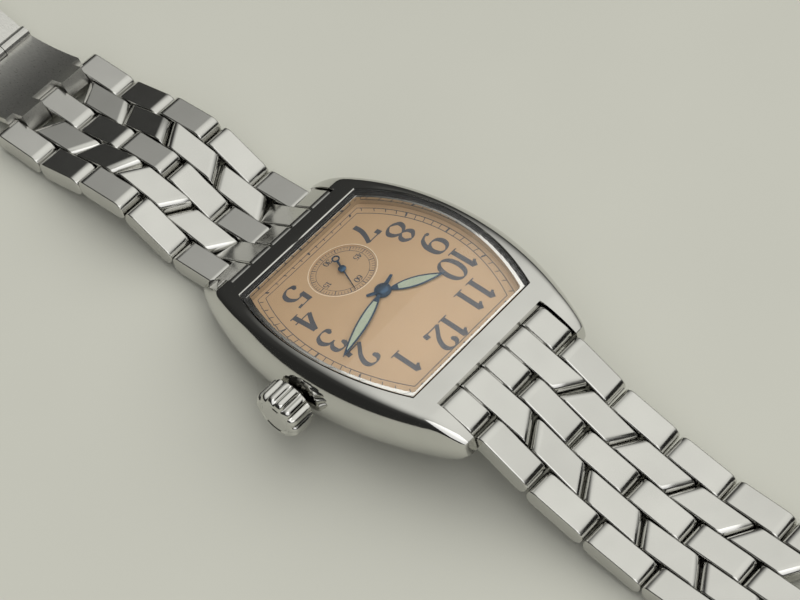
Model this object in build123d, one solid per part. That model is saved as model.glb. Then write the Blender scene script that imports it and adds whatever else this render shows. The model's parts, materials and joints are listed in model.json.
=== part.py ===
from build123d import *
from math import acos, asin, atan2, cos, degrees, pi, radians, sin, sqrt, tan
import os

os.makedirs("parts", exist_ok=True)

# A tonneau wristwatch on a brick-laid steel bracelet, lying dial up with its
# bracelet open. Millimetres, +X to the crown, +Y to 12 o'clock, +Z up.

# Resting pose: the head leans on the 6 o'clock edge of its back.
HEAD_PITCH = 8.5

# Case, in the head's own frame: the origin is at the top centre of the crystal opening's edge.
CASE_HALF_LENGTH = 21.4
CASE_HALF_WIDTH = 15.75
CASE_TIP_HALF_WIDTH = 10.3
CASE_DEPTH = 9.2
FLANK_WIDEST_DEPTH = 4.6
FLANK_TOP_HALF_WIDTH = 13.3
FLANK_TIP_DROP = 1.1
FLANK_OVERRUN = 0.4
FLANK_FLATS = 9
FLANK_TURN_SHARE = 1.2
TOP_RADIUS = 81.0
OPENING_HALF_LENGTH = 14.0
OPENING_HALF_WIDTH = 12.95
OPENING_CORNER_HALF_WIDTH = 9.92
NOSE_START = 17.2
NOSE_MIDDLE = 19.6
NOSE_MIDDLE_DEPTH = 3.0
TIP_TOP_DEPTH = 4.3
TIP_BOTTOM_DEPTH = 6.4
TUCK_START = 15.8
TUCK_MIDDLE = 19.2
TUCK_MIDDLE_DEPTH = 8.3
NOTCH_HALF_WIDTH = 8.85
NOTCH_FRONT = 16.5
NOTCH_CLEARANCE = 0.1

# Crystal, its gasket and the ledge that carries them.
CRYSTAL_THICKNESS = 0.7
CRYSTAL_CLEARANCE = 0.04
GASKET_THICKNESS = 0.15
GASKET_WIDTH = 0.35
LEDGE_WIDTH = 0.75
CAVITY_INSET = 0.35

# Dial and hands, on axes that rise from the movement.
DIAL_DEPTH = 2.05
DIAL_THICKNESS = 0.4
DIAL_CLEARANCE = 0.05
DIAL_HOLE_CLEARANCE = 0.15
SECONDS_OFFSET = 6.7
SECONDS_DIAL_RADIUS = 4.17
SECONDS_DIAL_SINK = 0.12
HAND_THICKNESS = 0.1
HOUR_HAND_LENGTH = 7.4
HOUR_HAND_WIDTH = 1.5
HOUR_HAND_TAIL = 2.0
HOUR_HAND_DEPTH = 1.9
HOUR_HAND_ANGLE = 305.0
MINUTE_HAND_LENGTH = 10.5
MINUTE_HAND_WIDTH = 1.35
MINUTE_HAND_TAIL = 2.4
MINUTE_HAND_DEPTH = 1.66
MINUTE_HAND_ANGLE = 73.0
SECONDS_HAND_LENGTH = 3.85
SECONDS_HAND_WIDTH = 0.3
SECONDS_HAND_TAIL = 1.5
SECONDS_HAND_DEPTH = 2.08
SECONDS_HAND_ANGLE = 22.0
HAND_HUB_RADIUS = 1.0
HAND_CAP_RADIUS = 0.8
HAND_CAP_HEIGHT = 0.22
SECONDS_HUB_RADIUS = 0.5

# Movement: depths of its levels below the opening's edge, and its gear train.
MOVEMENT_RADIUS = 11.65
PLATE_TOP_DEPTH = 3.55
PLATE_BOTTOM_DEPTH = 4.75
BRIDGE_TOP_DEPTH = 5.95
BRIDGE_BOTTOM_DEPTH = 6.5
WHEEL_THICKNESS = 0.14
ARBOR_RADIUS = 0.16
PIVOT_CLEARANCE = 0.03
CENTRE_ARBOR_RADIUS = 0.32
CANNON_RADIUS = 0.5
HOUR_PIPE_RADIUS = 0.78
PIPE_CLEARANCE = 0.04
TOOTH_HEIGHT_MODULES = 1.05
ROOT_DEPTH_MODULES = 1.75
BARREL_TEETH = 48
CENTRE_PINION_TEETH = 6
CENTRE_TEETH = 48
THIRD_PINION_TEETH = 6
THIRD_TEETH = 45
FOURTH_PINION_TEETH = 6
FOURTH_TEETH = 60
ESCAPE_PINION_TEETH = 6
ESCAPE_TEETH = 15
CANNON_TEETH = 8
MINUTE_WHEEL_TEETH = 24
MINUTE_PINION_TEETH = 8
HOUR_TEETH = 32
RATCHET_TEETH = 32
CROWN_WHEEL_TEETH = 24
BARREL_MODULE = 0.21
CENTRE_MODULE = 0.17
THIRD_MODULE = 0.155
FOURTH_MODULE = 0.1
MOTION_MODULE = 0.14
RATCHET_MODULE = 0.21
BARREL_DIRECTION = 56.0
ESCAPE_DIRECTION = -25.0
MINUTE_WHEEL_DIRECTION = 20.0
ESCAPE_RADIUS = 1.75
PALLET_DISTANCE = 2.35
PALLET_DIRECTION = 5.0
BALANCE_X = 6.4
BALANCE_Y = -4.4
BALANCE_RADIUS = 3.2
BALANCE_RIM = 0.4
HAIRSPRING_OUTER_RADIUS = 1.9
HAIRSPRING_INNER_RADIUS = 0.6
HAIRSPRING_TURNS = 5
HAIRSPRING_STEPS = 14
HAIRSPRING_BLADE = 0.06
HAIRSPRING_HEIGHT = 0.14

# Winding: the crown, its stem and its tube.
STEM_DEPTH = 4.75
STEM_RADIUS = 0.45
STEM_CLEARANCE = 0.05
STEM_INNER_END = 6.6
WINDING_PINION_TEETH = 12
WINDING_PINION_START = 8.2
WINDING_PINION_LENGTH = 1.1
STEM_NECK_PLACE = 10.6
STEM_NECK_RADIUS = 0.28
STEM_NECK_LENGTH = 0.5
SETTING_PIN_RADIUS = 0.2
SETTING_LEVER_LENGTH = 1.3
SETTING_LEVER_WIDTH = 1.0
SETTING_LEVER_THICKNESS = 0.3
CROWN_RADIUS = 3.2
CROWN_LENGTH = 3.3
CROWN_GAP = 0.35
CROWN_ROUND = 0.8
CROWN_FLUTES = 14
FLUTE_DEPTH = 0.34
CROWN_BORE_RADIUS = 1.35
CROWN_BORE_DEPTH = 1.5
CROWN_TUBE_RADIUS = 1.0
CROWN_TUBE_REACH = 1.1
CROWN_TRAVEL = 0.8

# Case back and its screws.
BACK_THICKNESS = 1.1
BACK_HALF_LENGTH = 15.2
BACK_HALF_WIDTH = 12.95
BACK_CORNER_HALF_WIDTH = 9.75
BACK_CLEARANCE = 0.03
BACK_PLUG_HEIGHT = 0.5
BACK_SCREW_HEAD_RADIUS = 0.65
BACK_SCREW_HEAD_HEIGHT = 0.4
BACK_SCREW_RADIUS = 0.4
BACK_SCREW_LENGTH = 2.0
BACK_SCREW_X = 7.4
BACK_SCREW_Y = 14.45

# Bracelet: five columns of links on pins at every half pitch.
BRACELET_WIDTH = 17.4
COLUMN_GAP = 0.12
COLUMNS = 5
HALF_PITCH = 4.12
LINK_THICKNESS = 2.8
LINK_END_RADIUS = 1.98
LINK_END_FACE = 1.1
PIN_RADIUS = 0.42
PIN_CLEARANCE = 0.03
MITRE_ANGLE = 31.0
END_LINK_REACH = 5.5
END_LINK_HEEL = 1.85
SPRING_BAR_DISTANCE = 17.7
SPRING_BAR_DEPTH = 3.9
SPRING_BAR_RADIUS = 0.7
SPRING_BAR_TIP_RADIUS = 0.4
SPRING_BAR_TIP_LENGTH = 0.9

# Heights of the pins above the floor, from the head outwards.
PIN_HEIGHTS_12 = [8.55, 6.65, 4.85, 3.7, 2.6, 1.75, 1.5, 1.43, 1.4, 1.4]
PIN_HEIGHTS_6 = [2.0, 1.6, 2.2, 4.0, 4.7, 4.3, 3.1, 2.0, 1.56, 1.5]

# Folding clasp at the end of the 6 o'clock strand.
BLADE_THICKNESS = 0.9
BLADE_WIDTH = 13.0
BLADE_RADIUS = 42.0
BLADE_GAP = 0.1
WING_LENGTH = 14.0
CLASP_PIN_RADIUS = 0.45
CLASP_KNUCKLE_RADIUS = 1.0
KNUCKLE_SHARE = 1 / 3

# Small proportions shared by several pieces.
SMALL_SIDES = 8
ROUND_SIDES = 16
NECK_SHARE = 0.3
WIDEST_SHARE = 0.45
LEVEL_GAP = 0.1
LEVEL_STEP = 0.21
PIVOT_DEPTH = 0.35
RIM_WIDTH = 0.25
WHEEL_HUB_RADIUS = 0.4
SPOKES = 4
SPOKE_WIDTH = 0.3
ESCAPE_ROOT_SHARE = 0.78
ESCAPE_RAKE_SHARE = -0.12
ESCAPE_BASE_SHARE = 0.3
PALLET_HUB_RADIUS = 0.35
PALLET_ARM_LENGTH = 1.15
PALLET_ARM_WIDTH = 0.22
PALLET_STONE_LENGTH = 0.4
PALLET_SPREAD = 62.0
PALLET_LEVER_LENGTH = 2.8
BALANCE_ARM_DIRECTION = 70.0
FLUTE_SHARES = (-0.16, 0.16, 0.3, 0.7)
MOTION_GAP = 0.2
CANNON_LEAF_LENGTH = 0.3
RATCHET_THICKNESS = 0.28
POST_RADIUS = 0.5
WEDGE_STEP = 60.0
BRIDGE_MEETING = (1.0, -1.8)
BARREL_BRIDGE_SPAN = (-8.0, 189.0)
TRAIN_BRIDGE_SPAN = (191.0, 314.0)
COCK_SPAN = (316.0, 350.0)
BARREL_BRIDGE_POSTS = [(-7.6, 4.2), (-8.5, -1.0), (10.7, 1.7)]
TRAIN_BRIDGE_POSTS = [(-7.0, -6.5), (-2.8, -10.0), (3.0, -10.6)]
COCK_POSTS = [(10.2, -3.9)]
MOVEMENT_RING_CLEARANCE = 0.03

# Values worked out from the dimensions above.
COLUMN_WIDTH = (BRACELET_WIDTH - (COLUMNS - 1) * COLUMN_GAP) / COLUMNS
COLUMN_STEP = COLUMN_WIDTH + COLUMN_GAP
LINK_HALF = LINK_THICKNESS / 2
MITRE = tan(radians(MITRE_ANGLE))
FAR = 4 * CASE_HALF_LENGTH
LEDGE_DEPTH = CRYSTAL_THICKNESS + GASKET_THICKNESS
DIAL_BOTTOM_DEPTH = DIAL_DEPTH + DIAL_THICKNESS
CAVITY_FLOOR_DEPTH = CASE_DEPTH - BACK_THICKNESS
SECONDS_DIAL_BOTTOM = DIAL_DEPTH + SECONDS_DIAL_SINK


def face_yz(edges):
    """Flat face from edges that lie in the YZ plane."""
    return Face(Wire(edges))


def line(a, b):
    return Edge.make_line(a, b)


def arc(a, b, c):
    return Edge.make_three_point_arc(a, b, c)


def prism_x(face, x0, x1):
    """Solid from a YZ face, from x0 to x1."""
    return Pos(x0, 0, 0) * extrude(face, x1 - x0, dir=(1, 0, 0))


def rod_x(radius, x0, x1, y, z):
    """Round rod along X."""
    return Pos(x0, y, z) * Rot(0, 90, 0) * rod_z(radius, 0, 0, 0, x1 - x0)


def rod_z(radius, x, y, low, high):
    """Round rod along Z, between two heights."""
    return Pos(x, y, low) * Cylinder(radius, high - low, align=(Align.CENTER, Align.CENTER, Align.MIN))


def small_rod_z(radius, x, y, low, high, sides=SMALL_SIDES):
    """Small rod along Z, with flats inside its radius."""
    outline = RegularPolygon(radius, sides)
    return Pos(x, y, low) * extrude(outline, high - low, dir=(0, 0, 1))


def small_bore_z(radius, x, y, low, high):
    """Small bore along Z, with flats outside its radius."""
    outline = RegularPolygon(radius, SMALL_SIDES, major_radius=False)
    return Pos(x, y, low) * extrude(outline, high - low, dir=(0, 0, 1))


def small_rod_x(radius, x0, x1, y, z, sides=SMALL_SIDES):
    return Pos(x0, y, z) * Rot(0, 90, 0) * small_rod_z(radius, 0, 0, 0, x1 - x0, sides)


def small_bore_x(radius, x0, x1, y, z):
    return Pos(x0, y, z) * Rot(0, 90, 0) * small_bore_z(radius, 0, 0, 0, x1 - x0)


def ring_z(outer, inner, x, y, low, high):
    """Plain ring about a line along Z."""
    return rod_z(outer, x, y, low, high) - rod_z(inner, x, y, low - outer, high + outer)


def band(outer, inner, half_angle, x0, x1):
    """Curved slab about the X axis, between two radii."""
    s, c = sin(radians(half_angle)), cos(radians(half_angle))
    edges = [
        arc((0, -outer * s, outer * c), (0, 0, outer), (0, outer * s, outer * c)),
        line((0, outer * s, outer * c), (0, inner * s, inner * c)),
        arc((0, inner * s, inner * c), (0, 0, inner), (0, -inner * s, inner * c)),
        line((0, -inner * s, inner * c), (0, -outer * s, outer * c)),
    ]
    return prism_x(face_yz(edges), x0, x1)


def curved_layer(top_depth, bottom_depth):
    """Layer that follows the case's curved top, between two depths."""
    outer = TOP_RADIUS - top_depth
    inner = TOP_RADIUS - bottom_depth
    half_angle = degrees(asin(CASE_HALF_LENGTH / inner))
    return Pos(0, 0, -TOP_RADIUS) * band(outer, inner, half_angle, -CASE_HALF_WIDTH, CASE_HALF_WIDTH)


def tonneau(half_length, half_width, corner_half_width, low, high):
    """Block with straight ends and bowed sides."""
    l, w, c = half_length, half_width, corner_half_width
    edges = [
        line((-c, l, 0), (c, l, 0)),
        arc((c, l, 0), (w, 0, 0), (c, -l, 0)),
        line((c, -l, 0), (-c, -l, 0)),
        arc((-c, -l, 0), (-w, 0, 0), (-c, l, 0)),
    ]
    return Pos(0, 0, low) * extrude(Face(Wire(edges)), high - low, dir=(0, 0, 1))


def opening(inset, low, high):
    """Block with the crystal opening's outline, made smaller all round."""
    return tonneau(
        OPENING_HALF_LENGTH - inset,
        OPENING_HALF_WIDTH - inset,
        OPENING_CORNER_HALF_WIDTH - inset,
        low,
        high,
    )


def side_profile():
    """Case seen from the side: curved top, rounded noses, tucked lug undersides."""
    nose_top = TOP_RADIUS - sqrt(TOP_RADIUS**2 - NOSE_START**2)
    tip = CASE_HALF_LENGTH
    edges = [
        arc((0, -NOSE_START, -nose_top), (0, 0, 0), (0, NOSE_START, -nose_top)),
        line((0, TUCK_START, -CASE_DEPTH), (0, -TUCK_START, -CASE_DEPTH)),
    ]
    for side in (1, -1):
        edges += [
            arc(
                (0, side * NOSE_START, -nose_top),
                (0, side * NOSE_MIDDLE, -NOSE_MIDDLE_DEPTH),
                (0, side * tip, -TIP_TOP_DEPTH),
            ),
            line((0, side * tip, -TIP_TOP_DEPTH), (0, side * tip, -TIP_BOTTOM_DEPTH)),
            arc(
                (0, side * tip, -TIP_BOTTOM_DEPTH),
                (0, side * TUCK_MIDDLE, -TUCK_MIDDLE_DEPTH),
                (0, side * TUCK_START, -CASE_DEPTH),
            ),
        ]
    return Face(Wire(edges))


def flank_radius():
    """Radius of the round that the flank makes from one tip to the other."""
    sagitta = sqrt((CASE_HALF_WIDTH - CASE_TIP_HALF_WIDTH) ** 2 + FLANK_TIP_DROP**2)
    return (CASE_HALF_LENGTH**2 + sagitta**2) / (2 * sagitta)


def flank_block():
    """Block whose flank bulges in narrow turned bands, about an axis that leans inwards."""
    lean = atan2(FLANK_TIP_DROP, CASE_HALF_WIDTH - CASE_TIP_HALF_WIDTH)
    reach = flank_radius()
    widest = Vector(CASE_HALF_WIDTH, 0, -FLANK_WIDEST_DEPTH)
    centre = widest + Vector(-cos(lean), 0, -sin(lean)) * reach
    axis = Axis(tuple(centre), (-sin(lean), 0, cos(lean)))
    bulge = CASE_HALF_WIDTH - FLANK_TOP_HALF_WIDTH
    section_radius = (FLANK_WIDEST_DEPTH**2 + bulge**2) / (2 * bulge)
    half_height = FLANK_WIDEST_DEPTH + FLANK_OVERRUN
    half_angle = asin(half_height / section_radius)
    inner = -CASE_HALF_WIDTH - bulge
    points = [(inner, 0, -2 * CASE_DEPTH), (inner, 0, CASE_DEPTH)]
    for step in range(FLANK_FLATS + 1):
        angle = half_angle * (1 - 2 * step / FLANK_FLATS)
        x = CASE_HALF_WIDTH + section_radius * (cos(angle) - 1)
        points.append((x, 0, section_radius * sin(angle) - FLANK_WIDEST_DEPTH))
    profile = Face(Wire.make_polygon(points, close=True))
    half_turn = FLANK_TURN_SHARE * degrees(asin(CASE_HALF_LENGTH / (reach - bulge)))
    return revolve(profile, axis=axis, revolution_arc=2 * half_turn).rotate(axis, -half_turn)


def case_blank():
    """Domed case before any opening is cut."""
    block = prism_x(side_profile(), -CASE_HALF_WIDTH, CASE_HALF_WIDTH)
    flank = flank_block()
    return block & flank & mirror(flank, about=Plane.YZ)


def lug_notch(side):
    """Space between two lugs, shaped to the end link's heel."""
    bar_y = SPRING_BAR_DISTANCE
    heel = END_LINK_HEEL + NOTCH_CLEARANCE
    width = 2 * NOTCH_HALF_WIDTH
    upper = Pos(0, NOTCH_FRONT, -SPRING_BAR_DEPTH) * Box(
        width, FAR, FAR, align=(Align.CENTER, Align.MIN, Align.MIN)
    )
    lower = Pos(0, bar_y - heel, -SPRING_BAR_DEPTH) * Box(
        width, FAR, FAR, align=(Align.CENTER, Align.MIN, Align.MAX)
    )
    seat = rod_x(heel, -NOTCH_HALF_WIDTH, NOTCH_HALF_WIDTH, bar_y, -SPRING_BAR_DEPTH)
    bar_tips = spring_bar()
    tool = upper + lower + seat + bar_tips
    return Rot(0, 0, 0 if side > 0 else 180) * tool


def spring_bar():
    """Spring bar in the head's frame, at the 12 o'clock end."""
    half = BRACELET_WIDTH / 2
    tip = half + SPRING_BAR_TIP_LENGTH
    barrel = small_rod_x(SPRING_BAR_RADIUS, -half, half, SPRING_BAR_DISTANCE, -SPRING_BAR_DEPTH)
    return barrel + small_rod_x(SPRING_BAR_TIP_RADIUS, -tip, tip, SPRING_BAR_DISTANCE, -SPRING_BAR_DEPTH)


def back_plate(inset, low, high):
    """Block with the case back's outline."""
    return tonneau(
        BACK_HALF_LENGTH - inset,
        BACK_HALF_WIDTH - inset,
        BACK_CORNER_HALF_WIDTH - inset,
        low,
        high,
    )


def screw_places():
    return [(x, y) for x in (-BACK_SCREW_X, BACK_SCREW_X) for y in (-BACK_SCREW_Y, BACK_SCREW_Y)]


def back_screw(x, y):
    """One case back screw, its head sunk in the back."""
    head = small_rod_z(BACK_SCREW_HEAD_RADIUS, x, y, -CASE_DEPTH, -CASE_DEPTH + BACK_SCREW_HEAD_HEIGHT)
    shank_top = -CASE_DEPTH + BACK_SCREW_HEAD_HEIGHT + BACK_SCREW_LENGTH
    return head + small_rod_z(BACK_SCREW_RADIUS, x, y, -CASE_DEPTH, shank_top)


def case_body():
    body = case_blank()
    body -= opening(0, -FAR, FAR) & curved_layer(-CASE_DEPTH, LEDGE_DEPTH)
    body -= opening(LEDGE_WIDTH, -CASE_DEPTH, FAR)
    body -= opening(CAVITY_INSET, -FAR, 0) - curved_layer(-CASE_DEPTH, DIAL_DEPTH)
    body -= back_plate(0, -FAR, -CAVITY_FLOOR_DEPTH)
    body -= rod_x(CROWN_TUBE_RADIUS, 0, FAR, 0, -STEM_DEPTH)
    for side in (1, -1):
        body -= lug_notch(side)
    for place in screw_places():
        body -= back_screw(*place)
    return body


def crystal():
    blank = opening(CRYSTAL_CLEARANCE, -CASE_DEPTH, CASE_DEPTH)
    return blank & curved_layer(0, CRYSTAL_THICKNESS)


def crystal_gasket():
    outer = opening(CRYSTAL_CLEARANCE, -CASE_DEPTH, CASE_DEPTH)
    inner = opening(CRYSTAL_CLEARANCE + GASKET_WIDTH, -CASE_DEPTH, CASE_DEPTH)
    return (outer - inner) & curved_layer(CRYSTAL_THICKNESS, LEDGE_DEPTH)


def case_back():
    """Plate with a plug that enters the case, bored for its screws."""
    back = back_plate(BACK_CLEARANCE, -CASE_DEPTH, -CAVITY_FLOOR_DEPTH)
    plug_inset = CAVITY_INSET + BACK_CLEARANCE + GASKET_WIDTH
    back += opening(plug_inset, -CAVITY_FLOOR_DEPTH, -CAVITY_FLOOR_DEPTH + BACK_PLUG_HEIGHT)
    for place in screw_places():
        back -= back_screw(*place)
    return back


def back_gasket():
    low = -CAVITY_FLOOR_DEPTH
    high = low + BACK_PLUG_HEIGHT
    inner = CAVITY_INSET + BACK_CLEARANCE + GASKET_WIDTH
    return opening(CAVITY_INSET, low, high) - opening(inner, low, high)


def back_screws():
    return [back_screw(*place) for place in screw_places()]


def dial():
    """Curved dial with a sunk seconds dial and its two holes."""
    inset = CAVITY_INSET + DIAL_CLEARANCE
    plate = opening(inset, -CASE_DEPTH, 0) & curved_layer(DIAL_DEPTH, DIAL_BOTTOM_DEPTH)
    sink = rod_z(SECONDS_DIAL_RADIUS, 0, -SECONDS_OFFSET, -CASE_DEPTH, 0)
    plate -= sink & curved_layer(0, SECONDS_DIAL_BOTTOM)
    plate -= small_bore_z(HOUR_PIPE_RADIUS + DIAL_HOLE_CLEARANCE, 0, 0, -CASE_DEPTH, 0)
    plate -= small_bore_z(ARBOR_RADIUS + DIAL_HOLE_CLEARANCE, 0, -SECONDS_OFFSET, -CASE_DEPTH, 0)
    return plate


def hand_blade(length, width, tail, depth):
    """Leaf-shaped blade that points to 12 o'clock, with a narrow tail."""
    half = width / 2
    neck = HAND_HUB_RADIUS * NECK_SHARE
    wide = length * WIDEST_SHARE
    edges = [
        Edge.make_spline([(neck, 0, 0), (half, wide, 0), (0, length, 0)]),
        Edge.make_spline([(0, length, 0), (-half, wide, 0), (-neck, 0, 0)]),
        line((-neck, 0, 0), (-neck, -tail, 0)),
        line((-neck, -tail, 0), (neck, -tail, 0)),
        line((neck, -tail, 0), (neck, 0, 0)),
    ]
    face = Face(Wire(edges))
    return Pos(0, 0, -depth - HAND_THICKNESS / 2) * extrude(face, HAND_THICKNESS, dir=(0, 0, 1))


def hub(radius, depth):
    low = -depth - HAND_THICKNESS / 2
    return small_rod_z(radius, 0, 0, low, low + HAND_THICKNESS, ROUND_SIDES)


def turned(shape, clock_angle):
    """Turns a shape clockwise, as a hand on the dial."""
    return Rot(0, 0, -clock_angle) * shape


def hour_hand():
    hand = hand_blade(HOUR_HAND_LENGTH, HOUR_HAND_WIDTH, HOUR_HAND_TAIL, HOUR_HAND_DEPTH)
    hand += hub(HAND_HUB_RADIUS, HOUR_HAND_DEPTH)
    hand -= small_rod_z(HOUR_PIPE_RADIUS, 0, 0, -CASE_DEPTH, 0, ROUND_SIDES)
    return turned(hand, HOUR_HAND_ANGLE)


def minute_hand():
    hand = hand_blade(MINUTE_HAND_LENGTH, MINUTE_HAND_WIDTH, MINUTE_HAND_TAIL, MINUTE_HAND_DEPTH)
    hand += hub(HAND_HUB_RADIUS, MINUTE_HAND_DEPTH)
    top = -MINUTE_HAND_DEPTH + HAND_THICKNESS / 2
    hand += rod_z(HAND_CAP_RADIUS, 0, 0, top, top + HAND_CAP_HEIGHT)
    hand -= small_rod_z(CENTRE_ARBOR_RADIUS, 0, 0, -CASE_DEPTH, top)
    return turned(hand, MINUTE_HAND_ANGLE)


def seconds_hand():
    """Straight hand with a small ring in its tail."""
    half = SECONDS_HAND_WIDTH / 2
    low = -SECONDS_HAND_DEPTH - HAND_THICKNESS / 2
    high = low + HAND_THICKNESS
    edges = [
        line((half, -SECONDS_HAND_TAIL, 0), (0, SECONDS_HAND_LENGTH, 0)),
        line((0, SECONDS_HAND_LENGTH, 0), (-half, -SECONDS_HAND_TAIL, 0)),
        line((-half, -SECONDS_HAND_TAIL, 0), (half, -SECONDS_HAND_TAIL, 0)),
    ]
    hand = Pos(0, 0, low) * extrude(Face(Wire(edges)), HAND_THICKNESS, dir=(0, 0, 1))
    ring_centre = -SECONDS_HAND_TAIL - SECONDS_HUB_RADIUS + half
    hand += small_rod_z(SECONDS_HUB_RADIUS, 0, 0, low, high, ROUND_SIDES)
    hand += small_rod_z(SECONDS_HUB_RADIUS, 0, ring_centre, low, high, ROUND_SIDES)
    hand -= small_rod_z(SECONDS_HUB_RADIUS - half, 0, ring_centre, low, high, ROUND_SIDES)
    hand -= small_rod_z(ARBOR_RADIUS, 0, 0, -CASE_DEPTH, 0)
    return Pos(0, -SECONDS_OFFSET, 0) * turned(hand, SECONDS_HAND_ANGLE)


def toothed(teeth, module, low, high, phase=0.0):
    """Spur wheel blank with pointed teeth, about the Z axis."""
    tip = module * (teeth / 2 + TOOTH_HEIGHT_MODULES)
    root = module * (teeth / 2 - ROOT_DEPTH_MODULES)
    points = []
    for tooth in range(teeth):
        for share, radius in ((0, tip), (1 / 2, root)):
            angle = 2 * pi * (tooth + share) / teeth + radians(phase)
            points.append((radius * cos(angle), radius * sin(angle), 0))
    wire = Wire.make_polygon(points, close=True)
    return Pos(0, 0, low) * extrude(Face(wire), high - low, dir=(0, 0, 1))


def meshed_phase(direction, driver_teeth, teeth, driver_phase=0.0):
    """Phase that puts a wheel's gap where the driver's tooth points."""
    turns = (direction - driver_phase) * driver_teeth / 360
    return direction + 180 + (turns + 0.5) * 360 / teeth


def spoked(radius, hub_radius, spokes, width, low, high):
    """Windows that leave a rim, a hub and spokes."""
    windows = small_rod_z(radius, 0, 0, low, high, ROUND_SIDES)
    windows -= small_rod_z(hub_radius, 0, 0, low - radius, high + radius)
    for spoke in range(spokes):
        bar = Box(2 * radius, width, FAR, align=(Align.MIN, Align.CENTER, Align.CENTER))
        windows -= Rot(0, 0, spoke * 360 / spokes) * bar
    return windows


def polar(distance, direction, x=0.0, y=0.0):
    return (x + distance * cos(radians(direction)), y + distance * sin(radians(direction)))


# Places of the train's arbors.
BARREL_PLACE = polar(BARREL_MODULE * (BARREL_TEETH + CENTRE_PINION_TEETH) / 2, BARREL_DIRECTION)
CENTRE_THIRD = CENTRE_MODULE * (CENTRE_TEETH + THIRD_PINION_TEETH) / 2
THIRD_FOURTH = THIRD_MODULE * (THIRD_TEETH + FOURTH_PINION_TEETH) / 2
THIRD_DROP = (CENTRE_THIRD**2 - THIRD_FOURTH**2 + SECONDS_OFFSET**2) / (2 * SECONDS_OFFSET)
THIRD_PLACE = (-sqrt(CENTRE_THIRD**2 - THIRD_DROP**2), -THIRD_DROP)
FOURTH_PLACE = (0, -SECONDS_OFFSET)
ESCAPE_PLACE = polar(
    FOURTH_MODULE * (FOURTH_TEETH + ESCAPE_PINION_TEETH) / 2, ESCAPE_DIRECTION, *FOURTH_PLACE
)
PALLET_PLACE = polar(PALLET_DISTANCE, PALLET_DIRECTION, *ESCAPE_PLACE)
BALANCE_PLACE = (BALANCE_X, BALANCE_Y)
MINUTE_WHEEL_DISTANCE = MOTION_MODULE * (CANNON_TEETH + MINUTE_WHEEL_TEETH) / 2
HOUR_MODULE = 2 * MINUTE_WHEEL_DISTANCE / (MINUTE_PINION_TEETH + HOUR_TEETH)
MINUTE_WHEEL_PLACE = polar(MINUTE_WHEEL_DISTANCE, MINUTE_WHEEL_DIRECTION)
CROWN_WHEEL_DISTANCE = RATCHET_MODULE * (RATCHET_TEETH + CROWN_WHEEL_TEETH) / 2
CROWN_WHEEL_PLACE = (BARREL_PLACE[0] + sqrt(CROWN_WHEEL_DISTANCE**2 - BARREL_PLACE[1] ** 2), 0)


def direction(a, b):
    """Direction from one arbor to another, in degrees."""
    return degrees(atan2(b[1] - a[1], b[0] - a[0]))


def at(place, shape):
    return Pos(place[0], place[1], 0) * shape


def level(step):
    """Top and bottom of a wheel on one of the train's levels, as heights."""
    top = PLATE_BOTTOM_DEPTH + LEVEL_GAP + step * LEVEL_STEP
    return -(top + WHEEL_THICKNESS), -top


def pinion_level(first, last):
    """Heights that reach from one level to another."""
    return level(last)[0], level(first)[1]


def arbor(radius, top_depth, bottom_depth):
    return small_rod_z(radius, 0, 0, -bottom_depth, -top_depth)


def short_arbor():
    """Arbor between its two pivots in the plate and the bridges."""
    return arbor(ARBOR_RADIUS, PLATE_BOTTOM_DEPTH - PIVOT_DEPTH, BRIDGE_TOP_DEPTH + PIVOT_DEPTH)


BARREL_TO_CENTRE = direction(BARREL_PLACE, (0, 0))
CENTRE_PINION_PHASE = meshed_phase(BARREL_TO_CENTRE, BARREL_TEETH, CENTRE_PINION_TEETH)
CENTRE_TO_THIRD = direction((0, 0), THIRD_PLACE)
THIRD_PINION_PHASE = meshed_phase(CENTRE_TO_THIRD, CENTRE_TEETH, THIRD_PINION_TEETH)
THIRD_TO_FOURTH = direction(THIRD_PLACE, FOURTH_PLACE)
FOURTH_PINION_PHASE = meshed_phase(THIRD_TO_FOURTH, THIRD_TEETH, FOURTH_PINION_TEETH)
FOURTH_TO_ESCAPE = direction(FOURTH_PLACE, ESCAPE_PLACE)
ESCAPE_PINION_PHASE = meshed_phase(FOURTH_TO_ESCAPE, FOURTH_TEETH, ESCAPE_PINION_TEETH)
MINUTE_TO_CENTRE = direction(MINUTE_WHEEL_PLACE, (0, 0))
CANNON_PHASE = meshed_phase(MINUTE_TO_CENTRE, MINUTE_WHEEL_TEETH, CANNON_TEETH)
HOUR_PHASE = meshed_phase(MINUTE_TO_CENTRE, MINUTE_PINION_TEETH, HOUR_TEETH)
RATCHET_TO_CROWN_WHEEL = direction(BARREL_PLACE, CROWN_WHEEL_PLACE)
CROWN_WHEEL_PHASE = meshed_phase(RATCHET_TO_CROWN_WHEEL, RATCHET_TEETH, CROWN_WHEEL_TEETH)


def mainspring_barrel():
    """Toothed drum that turns on the barrel arbor."""
    low, high = level(2)
    drum = toothed(BARREL_TEETH, BARREL_MODULE, low, high)
    drum_radius = BARREL_MODULE * (BARREL_TEETH / 2 - ROOT_DEPTH_MODULES) - WHEEL_THICKNESS
    drum += rod_z(drum_radius, 0, 0, -BRIDGE_TOP_DEPTH + WHEEL_THICKNESS, high)
    return at(BARREL_PLACE, drum) - arbor_bore(BARREL_PLACE, CENTRE_ARBOR_RADIUS)


def wheel(teeth, module, step, spokes):
    """Spoked wheel on one of the train's levels."""
    low, high = level(step)
    rim_inner = module * (teeth / 2 - ROOT_DEPTH_MODULES) - RIM_WIDTH
    blank = toothed(teeth, module, low, high)
    return blank - spoked(rim_inner, WHEEL_HUB_RADIUS, spokes, SPOKE_WIDTH, low, high)


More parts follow.
